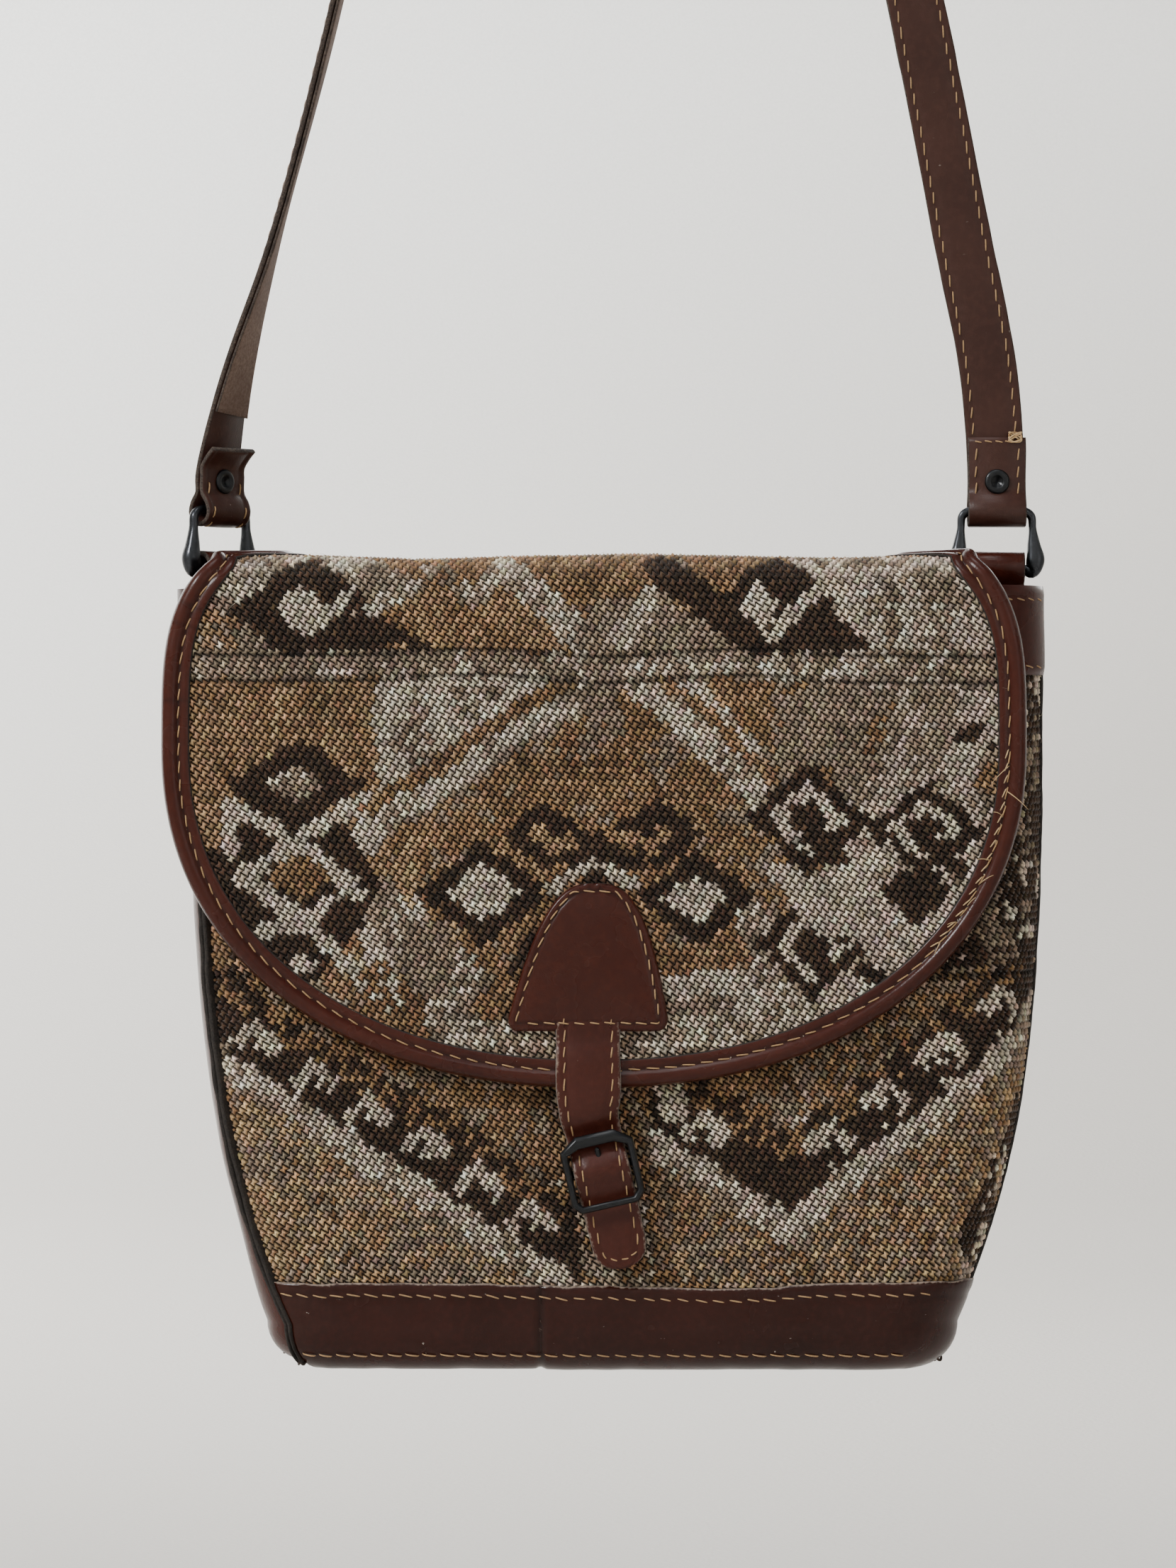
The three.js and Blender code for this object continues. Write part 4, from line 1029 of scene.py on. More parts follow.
def camera_and_stage():
    camera = bpy.data.objects.new("camera", bpy.data.cameras.new("camera"))
    bpy.context.collection.objects.link(camera)
    camera.location = world(VIEW_MIDDLE - [0, VIEW_AWAY, 0])
    camera.rotation_euler = (PI / 2, 0, 0)
    camera.data.sensor_width = SENSOR
    camera.data.lens = SENSOR * VIEW_AWAY / VIEW_TALL
    camera.data.clip_start = 0.01
    bpy.context.scene.camera = camera

    pale = Shader("pale_plaster")
    speckle = pale.noise(260, 3)
    colour = pale.mix(pale.between(speckle, 0.3, 0.7), linear(232, 232, 229), linear(239, 239, 236))
    place = pale.node("ShaderNodeSeparateXYZ")
    pale.set(place.inputs[0], pale.place)
    # Painted shade: the backdrop darkens towards the right and downwards, as if lit from the upper
    # left.
    across = pale.between(place.outputs["X"], -0.85, 0.85, 0, 0.4)
    down = pale.between(place.outputs["Z"], 0.3, -1.15, 0, 0.9)
    colour = pale.mix(pale.maths("ADD", across, down), colour, linear(194, 190, 184))
    plaster = pale.finish(colour, 0.9, pale.bump(speckle, 0.2, 0.002))
    floor_z = CAD_LOW.z - FLOOR_DROP
    turns, radii = 72, 26
    angle = np.linspace(0, 2 * PI, turns, endpoint=False)
    lift = np.linspace(0, PI / 2, radii)
    flat, bend = 4.2, 2
    profile = [(0.001, 0)] + [(flat + bend * math.sin(a), bend * (1 - math.cos(a))) for a in lift]
    profile.append((flat + bend, 6))
    points = [
        (r * math.cos(a), r * math.sin(a), floor_z + h) for r, h in profile for a in angle
    ]
    mesh = bpy.data.meshes.new("floor")
    mesh.from_pydata(points, [], grid_faces(len(profile), turns, closed=True).tolist())
    mesh.polygons.foreach_set("use_smooth", [True] * len(mesh.polygons))
    mesh.materials.append(plaster)
    floor = bpy.data.objects.new("floor", mesh)
    bpy.context.collection.objects.link(floor)

    sky_light = bpy.data.worlds.new("sky")
    sky_light.use_nodes = True
    sky = sky_light.node_tree.nodes["Background"]
    sky.inputs["Color"].default_value = (0.93, 0.96, 1, 1)
    sky.inputs["Strength"].default_value = 0.25
    bpy.context.scene.world = sky_light
    middle = (0, 0, ORIGIN[2] - 0.12)
    for name, place, target, size, power in (
        ("key", (-1.7, -1.3, 0.75), middle, 0.6, 50), ("fill", (1.6, -1.9, -0.4), middle, 1.2, 3),
        ("back", (0.7, 2.3, 0.5), middle, 1.2, 20), ("top", (-0.2, -0.5, 2.2), middle, 1.0, 15),
        ("wall_wash", (-2.4, 1.9, 1.9), (-1.6, 6.1, -0.2), 1.6, 540),
        ("room_wash", (0.0, -1.9, 2.4), (0.0, -6.1, -0.8), 1.6, 90),
    ):
        lamp = bpy.data.objects.new(name, bpy.data.lights.new(name, "AREA"))
        bpy.context.collection.objects.link(lamp)
        lamp.data.size, lamp.data.energy = size, power
        lamp.location = place
        lamp.rotation_euler = (Vector(target) - Vector(place)).to_track_quat("-Z", "Y").to_euler()


# ---- leather, thread and metal shapes ----
THREAD_SLOT = 3  # the thread's place among a sewn piece's materials
LOOSE_SLOT = 4
STITCH_SUNK = 0.12


class Shape:
    """Parts of one mesh.

    Every face has a material number, and every point how pale it is made, for wear and for painted
    highlight, and how dark, for painted shade in grooves and creases.
    """

    def __init__(self):
        self.points, self.faces, self.index, self.worn, self.pressed = [], [], [], [], []
        self.count = 0

    def add(self, points, faces, material=0, worn=0.0, pressed=0.0, closed=True):
        points = np.asarray(points, float).reshape(-1, 3)
        faces = [list(map(int, face)) for face in faces]
        if closed and volume_of(points, faces) < 0:
            faces = [face[::-1] for face in faces]
        self.points.append(points)
        self.faces += [[i + self.count for i in face] for face in faces]
        self.index.append(np.broadcast_to(np.asarray(material), len(faces)))
        self.worn.append(np.broadcast_to(np.asarray(worn, float), len(points)))
        self.pressed.append(np.broadcast_to(np.asarray(pressed, float), len(points)))
        self.count += len(points)

    def made(self, name, materials, body=None, slot=None, replaces=()):
        index = np.concatenate(self.index)
        points = np.vstack(self.points)
        obj = piece(name, points, self.faces, materials, body, replaces, index)
        point_values(obj, "worn", np.concatenate(self.worn))
        point_values(obj, "pressed", np.concatenate(self.pressed))
        return obj


def volume_of(points, faces):
    total = 0.0
    for size in {len(face) for face in faces}:
        same = np.array([face for face in faces if len(face) == size])
        for k in range(1, size - 1):
            a, b, c = points[same[:, 0]], points[same[:, k]], points[same[:, k + 1]]
            total += (a * np.cross(b, c)).sum()
    return total


def unit(vectors):
    return vectors / np.maximum(np.linalg.norm(vectors, axis=-1, keepdims=True), 1e-9)


def stitches(shape, route, out, material, pitch=6.0, long=4.5, thick=0.25, slant=0.5, seed=3):
    """A row of stitches along a route on a surface whose outward direction is out."""
    random = np.random.default_rng(seed)
    run = np.concatenate([[0], np.cumsum(np.linalg.norm(np.diff(route, axis=0), axis=1))])
    middle = np.arange(pitch / 2, run[-1] - long / 2, pitch)
    middle = middle + random.uniform(-0.25, 0.25, len(middle))
    share = np.array([-0.5, -0.4, -0.2, 0, 0.2, 0.4, 0.5])
    at = middle[:, None] + share * long * random.uniform(0.9, 1.06, (len(middle), 1))
    line = np.stack([np.interp(at, run, route[:, k]) for k in range(3)], -1)
    up = unit(np.stack([np.interp(at, run, out[:, k]) for k in range(3)], -1))
    along = unit(line[:, -1:] - line[:, :1])
    side = unit(np.cross(along, up))
    lift = thick * np.array([-1.1, 0.1, 0.65, 0.8, 0.65, 0.1, -1.1])
    lean = slant * share + random.uniform(-0.12, 0.12, (len(middle), 1))
    line = line + up * lift[:, None] + side * lean[..., None]
    angle = np.linspace(0, 2 * PI, 6, endpoint=False)
    size = thick * np.array([0.5, 0.95, 1.05, 1.1, 1.05, 0.95, 0.5])
    ring = side[..., None, :] * np.cos(angle)[:, None] + up[..., None, :] * np.sin(angle)[:, None]
    points = line[..., None, :] + ring * size[:, None, None]
    one = tube_faces(len(share), len(angle))
    points_each = len(share) * len(angle)
    faces = [[i + points_each * n for i in face] for n in range(len(middle)) for face in one]
    shape.add(points.reshape(-1, 3), faces, material)


def surface_stitches(shape, surface, path, out, material, **how):
    path = np.asarray(path, float)
    route = surface(path[:, 0], path[:, 1], out)
    up = unit(surface(path[:, 0], path[:, 1], out + 1) - route)
    stitches(shape, route, up, material, **how)


def tube(shape, route, radius, material, sides=7):
    """A round cord along a route; radius may change along it."""
    route = np.asarray(route, float)
    radius = np.broadcast_to(np.asarray(radius, float), len(route))
    along = unit(np.gradient(route, axis=0))
    helper = np.array([0.31, 0.17, 0.93])
    side = unit(np.cross(along, helper))
    up = np.cross(side, along)
    angle = np.linspace(0, 2 * PI, sides, endpoint=False)
    ring = side[:, None] * np.cos(angle)[:, None] + up[:, None] * np.sin(angle)[:, None]
    points = (route[:, None] + ring * radius[:, None, None]).reshape(-1, 3)
    shape.add(points, tube_faces(len(route), sides), material)


def strip_section(half, thick, groove, press=0.3):
    """[side, out] loop of a strip with soft edges and two stitch grooves, and its faces' kinds.

    Faces are 0 on the finished side, 1 on the cut edges and 2 on the inside.
    """
    rise = thick / 2
    if groove:
        line = half - groove
        across = [half - 0.25, half - 0.7, half - groove + 0.9, line, line - 0.9, half * 0.3]
        height = [rise * 0.8, rise, rise + 0.05, rise - press, rise + 0.05, rise + 0.12]
    else:
        across, height = [half - 0.25, half - 0.7, half * 0.5], [rise * 0.8, rise, rise + 0.08]
    top = list(zip(across, height))
    left = [(-a, h) for a, h in top]
    middle = [(0, rise + 0.14)]
    under = [(-half, 0.45 * rise), (-half, -0.6 * rise), (-half + 0.4, -rise), (0, -rise)]
    under += [(half - 0.4, -rise), (half, -0.6 * rise), (half, 0.45 * rise)]
    loop = top + middle + left[::-1] + under
    kinds = [0] * (2 * len(top)) + [1, 1, 1, 2, 2, 1, 1, 1]
    return np.array(loop), np.array(kinds)


def strip(shape, stops, width, thick, groove=2.6, step=1.5, kinds=(0, 1, 2), worn=0.25, seed=0):
    """A leather strip through stops [x, y, z, across x, y, z, share of width]; gives its route."""
    stops = np.asarray(stops, float)
    if stops.shape[1] == 6:
        stops = np.hstack([stops, np.ones((len(stops), 1))])
    run = curve_through(stops, step)
    section, kind = strip_section(width / 2, thick, groove)
    ragged = 1 + 0.012 * noise(np.arange(len(run)) * step, 0 * np.arange(len(run)), 9, seed)
    points, faces = sweep(run[:, :3], run[:, 3:6], section, run[:, 6] * ragged)
    index = np.concatenate([np.tile(np.array(kinds)[kind], len(run) - 1), [kinds[1]] * 2])
    edge = np.isclose(np.abs(section[:, 0]), width / 2, atol=0.8)
    shape.add(points, faces, index, worn=np.tile(edge * worn, len(run)))
    return run


def strip_stitches(shape, run, width, thick, inset, **how):
    """A row of stitches along each edge of a strip's finished side."""
    along = unit(np.gradient(run[:, :3], axis=0))
    side = unit(run[:, 3:6] - along * (run[:, 3:6] * along).sum(1, keepdims=True))
    out = np.cross(along, side)
    for sign in (-1, 1):
        far = (width / 2 * run[:, 6:7] - inset) * sign
        route = run[:, :3] + side * far + out * (thick / 2 - STITCH_SUNK)
        stitches(shape, route, out, THREAD_SLOT, **how)


def surface_band(shape, surface, rim, inward, profile, kinds, pressed=None, worn=0.0):
    """A profile [in from the rim, out] carried along a rim that lies on a surface."""
    profile = np.asarray(profile, float)
    place = rim[:, None] + inward[:, None] * profile[None, :, :1]
    points = surface(place[..., 0], place[..., 1], np.broadcast_to(profile[:, 1], place.shape[:2]))
    rows, columns = points.shape[:2]
    faces = tube_faces(rows, columns)
    index = np.concatenate([np.tile(kinds, rows - 1), [kinds[0]] * 2])
    dark = 0.0 if pressed is None else np.tile(pressed, rows)
    shape.add(points.reshape(-1, 3), faces, index, worn=worn, pressed=dark)


# ---- the flap's edge, linings and closure ----
BINDING_PROFILE = (
    (9.2, 0.1), (9.35, 0.7), (8.9, 1.25), (8.0, 1.45), (6.9, 1.4), (6.1, 1.0), (5.6, 0.78),
    (5.1, 1.05), (4.7, 1.6), (3.9, 2.15), (2.8, 2.45), (1.6, 2.2), (0.6, 1.4), (-0.1, 0.1),
    (-0.4, -1.5), (-0.1, -3.0), (0.9, -4.2), (2.6, -4.9), (5.6, -5.0), (9.0, -4.75), (9.2, -4.3),
    (8.9, -3.95), (2.4, -3.9), (1.6, -2.0), (2.4, -0.2), (8.9, -0.1),
)
BINDING_KINDS = (1, 1) + (0,) * 18 + (1, 1) + (2,) * 4
STITCH_INSET = 5.6


def flap_rim(sign):
    """One side of the flap's outline, from its back end to the middle of its foot, as x and d."""
    wide_d = FLAP_FRONT_EDGE - FLAP_ROLL - FLAP_WIDE_Z
    d = np.arange(-FLAP_BACK_FLAT - 4.2, wide_d, 0.75)
    side = np.stack([FLAP_SHIFT + sign * flap_edge_half(d), d], 1)
    a = np.linspace(0, PI / 2, 160)
    foot_x = FLAP_SHIFT + sign * FLAP_HALF_WIDE * np.cos(a) ** (2 / FOOT_POWER)
    foot_d = wide_d + (FLAP_WIDE_Z - FLAP_BOTTOM) * np.sin(a) ** (2 / FOOT_POWER)
    return np.concatenate([side, np.stack([foot_x, foot_d], 1)])


def flap_outline(step):
    """The rim from its left back end round the foot to the right one, and its inward directions."""
    left, right = flap_rim(-1), flap_rim(1)
    rim = spaced(np.concatenate([left[:-1], right[::-1][1:]]), step)
    along = unit(np.gradient(rim, axis=0))
    inward = np.stack([along[:, 1], -along[:, 0]], 1)
    return rim, inward


def flap_binding():
    shape = Shape()
    rim, inward = flap_outline(1.5)
    groove = np.exp(-(((np.array(BINDING_PROFILE)[:, 0] - STITCH_INSET) / 0.5) ** 2))
    groove *= np.array(BINDING_PROFILE)[:, 1] > 0
    x, d = rim.T
    crack = 0.6 * (np.sin(np.arange(len(x)) * 1.5 * 0.9 + 3 * noise(x, d, 12, 5)) > 0.93)
    cracked = crack * ((x < -110) & (d < 90))
    profile = np.array(BINDING_PROFILE)
    # Painted shade along the stitch groove and in the cracks of the binding.
    dark = (groove[None] + cracked[:, None] * (profile[None, :, 1] > 0.5)).ravel()
    surface_band(shape, flap, rim, inward, profile, BINDING_KINDS, None, 0.0)
    shape.pressed[-1] = dark
    path = rim + inward * STITCH_INSET
    on_front = path[:, 1] > -FLAP_BACK_FLAT
    surface_stitches(shape, flap, path[on_front], 0.85, THREAD_SLOT, pitch=6.1, long=4.7, slant=0.6)
    fray = (path[:, 0] > 60) & (path[:, 1] > 100) & (path[:, 1] < 175)
    second = path[fray] + inward[fray] * 1.0
    worn_row = {"pitch": 4.4, "long": 4.1, "thick": 0.24, "slant": 1.4, "seed": 8}
    surface_stitches(shape, flap, second, 1.1, LOOSE_SLOT, **worn_row)
    loose_ends(shape, path[fray])
    skins = [LEATHER, PAINTED, FLESH, THREAD, PALE_THREAD]
    binding = shape.made("flap_edge_binding", skins, slot="dark_leather")
    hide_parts("flap_binding", "flap_top_binding_left", "flap_top_binding_right")
    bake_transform(binding)


def loose_ends(shape, path):
    """Frayed thread ends that stand off the worn stitching."""
    random = np.random.default_rng(12)
    for k in range(9):
        x, d = path[int(len(path) * (0.06 + 0.1 * k))]
        lean = random.uniform(-1, 1, 2)
        t = np.linspace(0, 1, 7)
        long = random.uniform(3.5, 8.5)
        way = np.stack([x + lean[0] * long * t, d + long * 0.7 * t * lean[1] + 1.5 * t * t], 1)
        route = flap(way[:, 0], way[:, 1], 1.0 + 2.4 * np.sin(t * 2.2))
        tube(shape, route, 0.2 * (1 - 0.5 * t), LOOSE_SLOT, 5)


def flap_linings():
    """Plain cotton under the cloth, its edges inside the binding."""
    back = ("flap_lining_back", -FLAP_BACK_FLAT - 7, FLAP_MIDDLE)
    front = ("flap_lining_front", FLAP_MIDDLE, FLAP_LENGTH - LINING_INSET)
    for (name, start, end), bodies, fold, node in (
        (back, ("bag", "flap_top"), FOLD_BACK, "flap_top_lining"),
        (front, ("flap_top", "flap_front"), FOLD_FRONT, "flap_lining"),
    ):
        d = np.linspace(start, end, max(8, int((end - start) / 2.5)))[:, None]
        share = np.linspace(-1, 1, 90)[None]
        half = np.maximum(lining_half(d), 0.5)
        x = FLAP_SHIFT + half * share
        d = np.broadcast_to(d, x.shape)
        points, faces, _ = slab(*(flap(x, d, out) for out in LINING_FACES))
        shape = Shape()
        shape.add(points, faces)
        lining = shape.made(name, [COTTON], slot="cotton_lining")
        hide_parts(node)
        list(bodies)
        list(fold)
        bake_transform(lining)
        declare_sheet(lining_half, start, end)


def lining_half(d):
    return flap_half_inside(d, LINING_INSET)


PATCH_TOP = -110.5
PATCH_TALL = 50


def patch_half(t):
    """Half width of the bell-shaped patch, t below its top."""
    corner = 4.5 * (1 - np.sqrt(1 - np.clip((t - PATCH_TALL + 5) / 5, 0, 1) ** 2))
    return 7 * t**0.353 - corner


def patch_middle(t):
    return -4.6 - 2.6 * t / PATCH_TALL


def closure_patch():
    rows = (1 - np.cos(np.linspace(0, PI, 60))) / 2 * PATCH_TALL
    share = np.sin(np.linspace(-PI / 2, PI / 2, 61))
    t, u = np.meshgrid(rows, share, indexing="ij")
    half = patch_half(t)
    x = patch_middle(t) + u * half
    edge_t = np.linspace(0, PATCH_TALL, 260)
    edge = [np.stack([patch_middle(edge_t) + k * patch_half(edge_t), edge_t], 1) for k in (-1, 1)]
    foot = np.linspace(edge[0][-1, 0], edge[1][-1, 0], 90)
    outline = np.concatenate([*edge, np.stack([foot, 0 * foot + PATCH_TALL], 1)])
    apart = np.hypot(x[..., None] - outline[:, 0], t[..., None] - outline[:, 1]).min(-1)
    full = 1 - np.exp(-apart / 9)
    rounded_edge = np.sqrt(1 - (1 - np.clip(apart / 1.1, 0, 1)) ** 2)
    groove = np.exp(-(((apart - 2.7) / 0.55) ** 2))
    out = 0.75 + 1.5 * rounded_edge + 1.9 * full - 0.4 * groove + 0.1 * noise(x, t, 14, 33)
    d = t - PATCH_TOP + FLAP_FRONT_EDGE - FLAP_ROLL
    points, faces, is_edge = slab(flap(x, d, out), flap(x, d, np.full_like(out, 0.5)))
    shape = Shape()
    near_edge = np.concatenate([np.exp(-apart.ravel() / 0.8), np.ones(apart.size)])
    index = np.where(is_edge, 1, 0)
    # The stitch groove gets painted shade as well as its dip.
    shape.add(points, faces, index, worn=0.3 * near_edge, pressed=np.tile(groove.ravel(), 2))
    inset_t = np.linspace(2.7, PATCH_TALL - 2.7, 200)
    reach = patch_half(inset_t) - 2.9
    left = np.stack([patch_middle(inset_t) - reach, inset_t], 1)
    right = np.stack([patch_middle(inset_t) + reach, inset_t], 1)
    left, right = left[reach > 0.5], right[reach > 0.5]
    loop = np.concatenate([left[::-1], right, left[-1:]])
    loop = spaced(loop, 1)
    loop[:, 1] += -PATCH_TOP + FLAP_FRONT_EDGE - FLAP_ROLL
    surface_stitches(shape, flap, loop, 2.6, THREAD_SLOT, pitch=5.2, long=3.9, slant=0.5)
    skins = [LEATHER, RAW_GREY, FLESH, THREAD]
    patch = shape.made("closure_patch_leather", skins, "flap_front", "dark_leather")
    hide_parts("closure_patch")


def buckle_place(rise, out, x=0.0):
    """A place on the slanting closure: rise above the buckle's bar, out from the bag."""
    c, s = math.cos(BUCKLE_TILT), math.sin(BUCKLE_TILT)
    return [BUCKLE[0] - rise * s + x * c, BUCKLE[1] - out, BUCKLE[2] + rise * c + x * s]


def in_buckle_frame(points):
    """Points drawn about the buckle's bar, X across and Z up, put in place."""
    points = np.asarray(points, float)
    c, s = math.cos(BUCKLE_TILT), math.sin(BUCKLE_TILT)
    x = points[..., 0] * c - points[..., 2] * s
    z = points[..., 0] * s + points[..., 2] * c
    return BUCKLE + np.stack([x, points[..., 1], z], -1)


def slant_stops(stops):
    across = (math.cos(BUCKLE_TILT), 0, math.sin(BUCKLE_TILT))
    return [(*buckle_place(rise, out), *across, wide) for rise, out, wide in stops]


def closure_strap():
    flat_y = -46.65
    over_y = -48.15
    upper = ((0, flat_y, -148), (0, flat_y, -164), (0, over_y, -169), (0.2, over_y, -181))
    stops = [(CLOSURE_X + x, y, z, 1, 0, 0, 1.15) for x, y, z in upper]
    tail = [(-31.5, 0.6, 0.8), (-33.2, 0.6, 0.6), (-34.3, 0.6, 0.36), (-34.7, 0.6, 0.12)]
    stops += slant_stops([
        (19, 4.2, 1.05), (13.6, 1.0, 1), (10.5, 0.6, 1), (5.5, 2.3, 1), (0, 4.9, 1), (-6, 3, 1),
        (-12.3, 0.8, 1), (-20, 0.6, 1.0), (-28, 0.6, 0.95), *tail,
    ])
    shape = Shape()
    run = strip(shape, stops, BILLET_WIDTH, BILLET_THICK, groove=2.9, step=0.9, worn=0.5, seed=6)
    sewn = run[run[:, 2] > BUCKLE[2] - 29]
    strip_stitches(shape, sewn, BILLET_WIDTH, BILLET_THICK, 2.9, pitch=5.6, long=4.2, slant=0.5)
    turn = np.linspace(0, PI, 24)
    face = 0.6 + BILLET_THICK / 2
    loop = [buckle_place(-27.5 - 4.2 * math.sin(a), face, -6.2 * math.cos(a)) for a in turn]
    forwards = np.tile([0.0, -1, 0], (len(loop), 1))
    stitches(shape, np.array(loop), forwards, THREAD_SLOT, pitch=3.6, long=2.7)
    skins = [CREASED, RAW_GREY, FLESH, THREAD]
    billet = shape.made("closure_billet", skins, "flap_front", "dark_leather")
    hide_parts("closure_strap")


def buckle_anchor():
    back_out = -HALF_DEPTH - BUCKLE[1] - 0.3 - ANCHOR_THICK / 2
    front_out = -back_out + ANCHOR_THICK + 0.3
    reach = BAR_RADIUS + 0.35 + ANCHOR_THICK / 2
    loop = [
        (reach * math.sin(math.radians(a)), reach * math.cos(math.radians(a)), 1)
        for a in (-40, 0, 40, 70, 110, 150, 190)
    ]
    stops = [(-30, front_out, 1), (-14, front_out, 1), (-6, -1.6, 1), *loop, (-6, -4.4, 1)]
    stops += [(-12, -back_out, 1), (-30, -back_out, 1)]
    shape = Shape()
    strip(shape, slant_stops(stops), 18, ANCHOR_THICK, groove=0, step=0.8)
    anchor = shape.made("buckle_loop", [LEATHER, PAINTED, FLESH], "bag", "dark_leather")
    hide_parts("buckle_anchor")


def buckle():
    outer = [(-12.6, 8.2), (-12.6, 4.5), (-12.6, -6), (-12.6, -10.4), (-9.8, -13.4), (9.8, -13.4)]
    outer += [(12.6, -10.4), (12.6, -6), (12.6, 4.5), (12.6, 8.2), (6.6, 12.4), (-6.6, 12.4)]
    inner = [(-10.2, 6.6), (-10.3, 4.5), (-10.3, -6), (-10.3, -9.2), (-8.6, -11.2), (8.6, -11.2)]
    inner += [(10.3, -9.2), (10.3, -6), (10.3, 4.5), (10.2, 6.6), (6.2, 8.2), (-6.2, 8.2)]
    outer, inner = np.array(outer), np.array(inner)
    deep = np.where(np.abs(outer[:, 1] + 0.75) < 6, 1.8, -4.0)
    chamfer = 0.28

    def level(xz, y):
        return np.stack([xz[:, 0], np.broadcast_to(y, len(xz)), xz[:, 1]], 1)

    loops = [
        level(outer, deep), level(outer, -5.6), level(outer + (inner - outer) * chamfer, -6.6),
        level(inner + (outer - inner) * chamfer, -6.6), level(inner, -5.8), level(inner, deep),
    ]
    points = np.array(loops)
    shape = Shape()
    shape.add(in_buckle_frame(points.reshape(-1, 3)), hoop_faces(*points.shape[:2]))
    frame_piece = shape.made("buckle_rails", [BLACK_METAL], slot="black_metal")
    rounded(frame_piece, 0.22, 2)
    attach(frame_piece, "buckle")
    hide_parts("buckle_frame")
    bar = Shape()
    x = np.linspace(-11, 11, 9)
    tube(bar, in_buckle_frame(np.stack([x, 0 * x, 0 * x], 1)), BAR_RADIUS, 0, 20)
    bar.made("buckle_bar", [BLACK_METAL], "buckle", "black_metal")


def prong():
    shape = Shape()
    a = np.linspace(0, 2 * PI, 28, endpoint=False)
    middle = np.stack([0 * a, 2.28 * np.cos(a), 2.28 * np.sin(a)], 1)
    b = np.linspace(0, 2 * PI, 12, endpoint=False)
    section = np.stack([1.1 * np.cos(b), 0.62 * np.sin(b)], 1)
    points, faces = sweep(middle, np.tile([1.0, 0, 0], (28, 1)), section, closed=True)
    shape.add(in_buckle_frame(points), faces)
    stops = [(0, -2.4, 0.4), (0, -3.0, 2.6), (0, -3.8, 4.8), (0, -4.5, 6.6), (0, -4.95, 7.5)]
    pin = curve_through(stops, 0.3)
    t = np.linspace(0, 1, len(pin))
    tip = np.sqrt(np.clip(1 - np.clip((t - 0.85) / 0.15, 0, 1) ** 2, 0.03, 1))
    tube(shape, in_buckle_frame(pin), (1.05 - 0.2 * t) * tip, 0, 14)
    made = shape.made("prong_pin", [BLACK_METAL], "prong", "black_metal")
    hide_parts("buckle_prong")


# ---- the bag's leather and lining ----
GLUE_GAP = 0.3  # between the cloth's middle face and the leather on it
BAND_SEAM = 4.2  # the stitching below the base band's top edge


def base_band():
    """One leather piece: up the front, under the bag and up the back."""
    thick = 1.7
    skin_out = GLUE_GAP + thick
    fold_x = -23  # where the front's two lengths of leather meet

    def rows(side_y):
        v = np.concatenate([
            np.linspace(BAND_TOP, ROLL_Z, 12), np.linspace(ROLL_Z, ROLL_END, 12)[1:],
            np.linspace(ROLL_END, ROLL_END - HALF_DEPTH + ROLL, 9)[1:],
        ])[:, None]
        share = np.linspace(-1, 1, 240)[None]
        edge = seam_s(side_y, 1, v) - 1.2
        left_edge = -seam_s(side_y, -1, v) - 1.2
        far = -seam_s(1, -1, v) - 1.2
        under = smooth_step(-v, -ROLL_END, -(ROLL_END - HALF_DEPTH + ROLL))
        left_edge = left_edge + (far - left_edge) * under
        s = np.where(share < 0, share * left_edge, share * edge)
        wavy = 1.3 * noise(s, 0 * s, 42, 3 + int(side_y)) + 0.35 * noise(s, 0 * s, 7, 4)
        z = v + wavy * smooth_step(v, ROLL_Z, BAND_TOP) + 0 * s
        return s, z

    def skin(side_y, out):
        s, z = rows(side_y)
        crease = np.exp(-(((s - fold_x) / 1.1) ** 2)) * (side_y < 0)
        lap = 0.5 * (s > fold_x) * (side_y < 0)
        edge = smooth_step(np.abs(np.arange(len(z)))[:, None] + 0 * s, -0.5, 2)
        dent = 0.25 * noise(s, z, 24, 8) + 0.12 * noise(s, z, 7, 9)
        seam = np.exp(-(((z - (BAND_TOP - BAND_SEAM)) / 0.8) ** 2)) * 0.3
        lift = (out > 1) * (dent - 0.9 * crease + lap * 0.6 - seam + 0.5 * (edge - 1))
        return wall(side_y, s, z, out + lift), crease, seam

    front, crease, seam = skin(-1, skin_out)
    front_in, _, _ = skin(-1, GLUE_GAP)
    back, back_crease, back_seam = skin(1, skin_out)
    back_in, _, _ = skin(1, GLUE_GAP)
    outer = np.concatenate([front, back[::-1][1:]])
    inner = np.concatenate([front_in, back_in[::-1][1:]])
    points, faces, is_edge = slab(outer, inner)
    # Painted shade along the crease and the stitched seam line.
    press = np.concatenate([crease + seam, (back_crease + back_seam)[::-1][1:]]).ravel()
    shape = Shape()
    # Painted highlight: the band's top edges are made pale where light catches them.
    top_row = np.zeros(outer.shape[:2])
    top_row[:1] = top_row[-1:] = 1
    worn = np.tile(top_row.ravel() * 0.8, 2)
    shape.add(points, faces, np.where(is_edge, 1, 0), worn=worn, pressed=np.tile(press, 2))
    for side_y in (-1, 1):
        s, z = rows(side_y)
        for row, down in ((0, BAND_SEAM), (22, 0)):
            keep = np.abs(s[row]) < np.minimum(np.abs(s[row, 0]), s[row, -1]) - 1
            path = np.stack([s[row], z[row] - down], 1)[keep]

            def around(a, b, out, side_y=side_y):
                return wall(side_y, a, b, out)

            low_seam = np.stack([path[:, 0], 0 * path[:, 0] + ROLL_Z - 9.5], 1)
            seen, proud = (path, 0.0) if row == 0 else (low_seam, 0.35)
            how = {"pitch": 5.9, "long": 4.7, "slant": 0.9}
            surface_stitches(shape, around, seen, skin_out + proud, THREAD_SLOT, **how)
    skins = [BASE_LEATHER, RAW_GREY, FLESH, THREAD]
    band = shape.made("base_band", skins, "bag", "dark_leather")
    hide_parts("base_wrap")


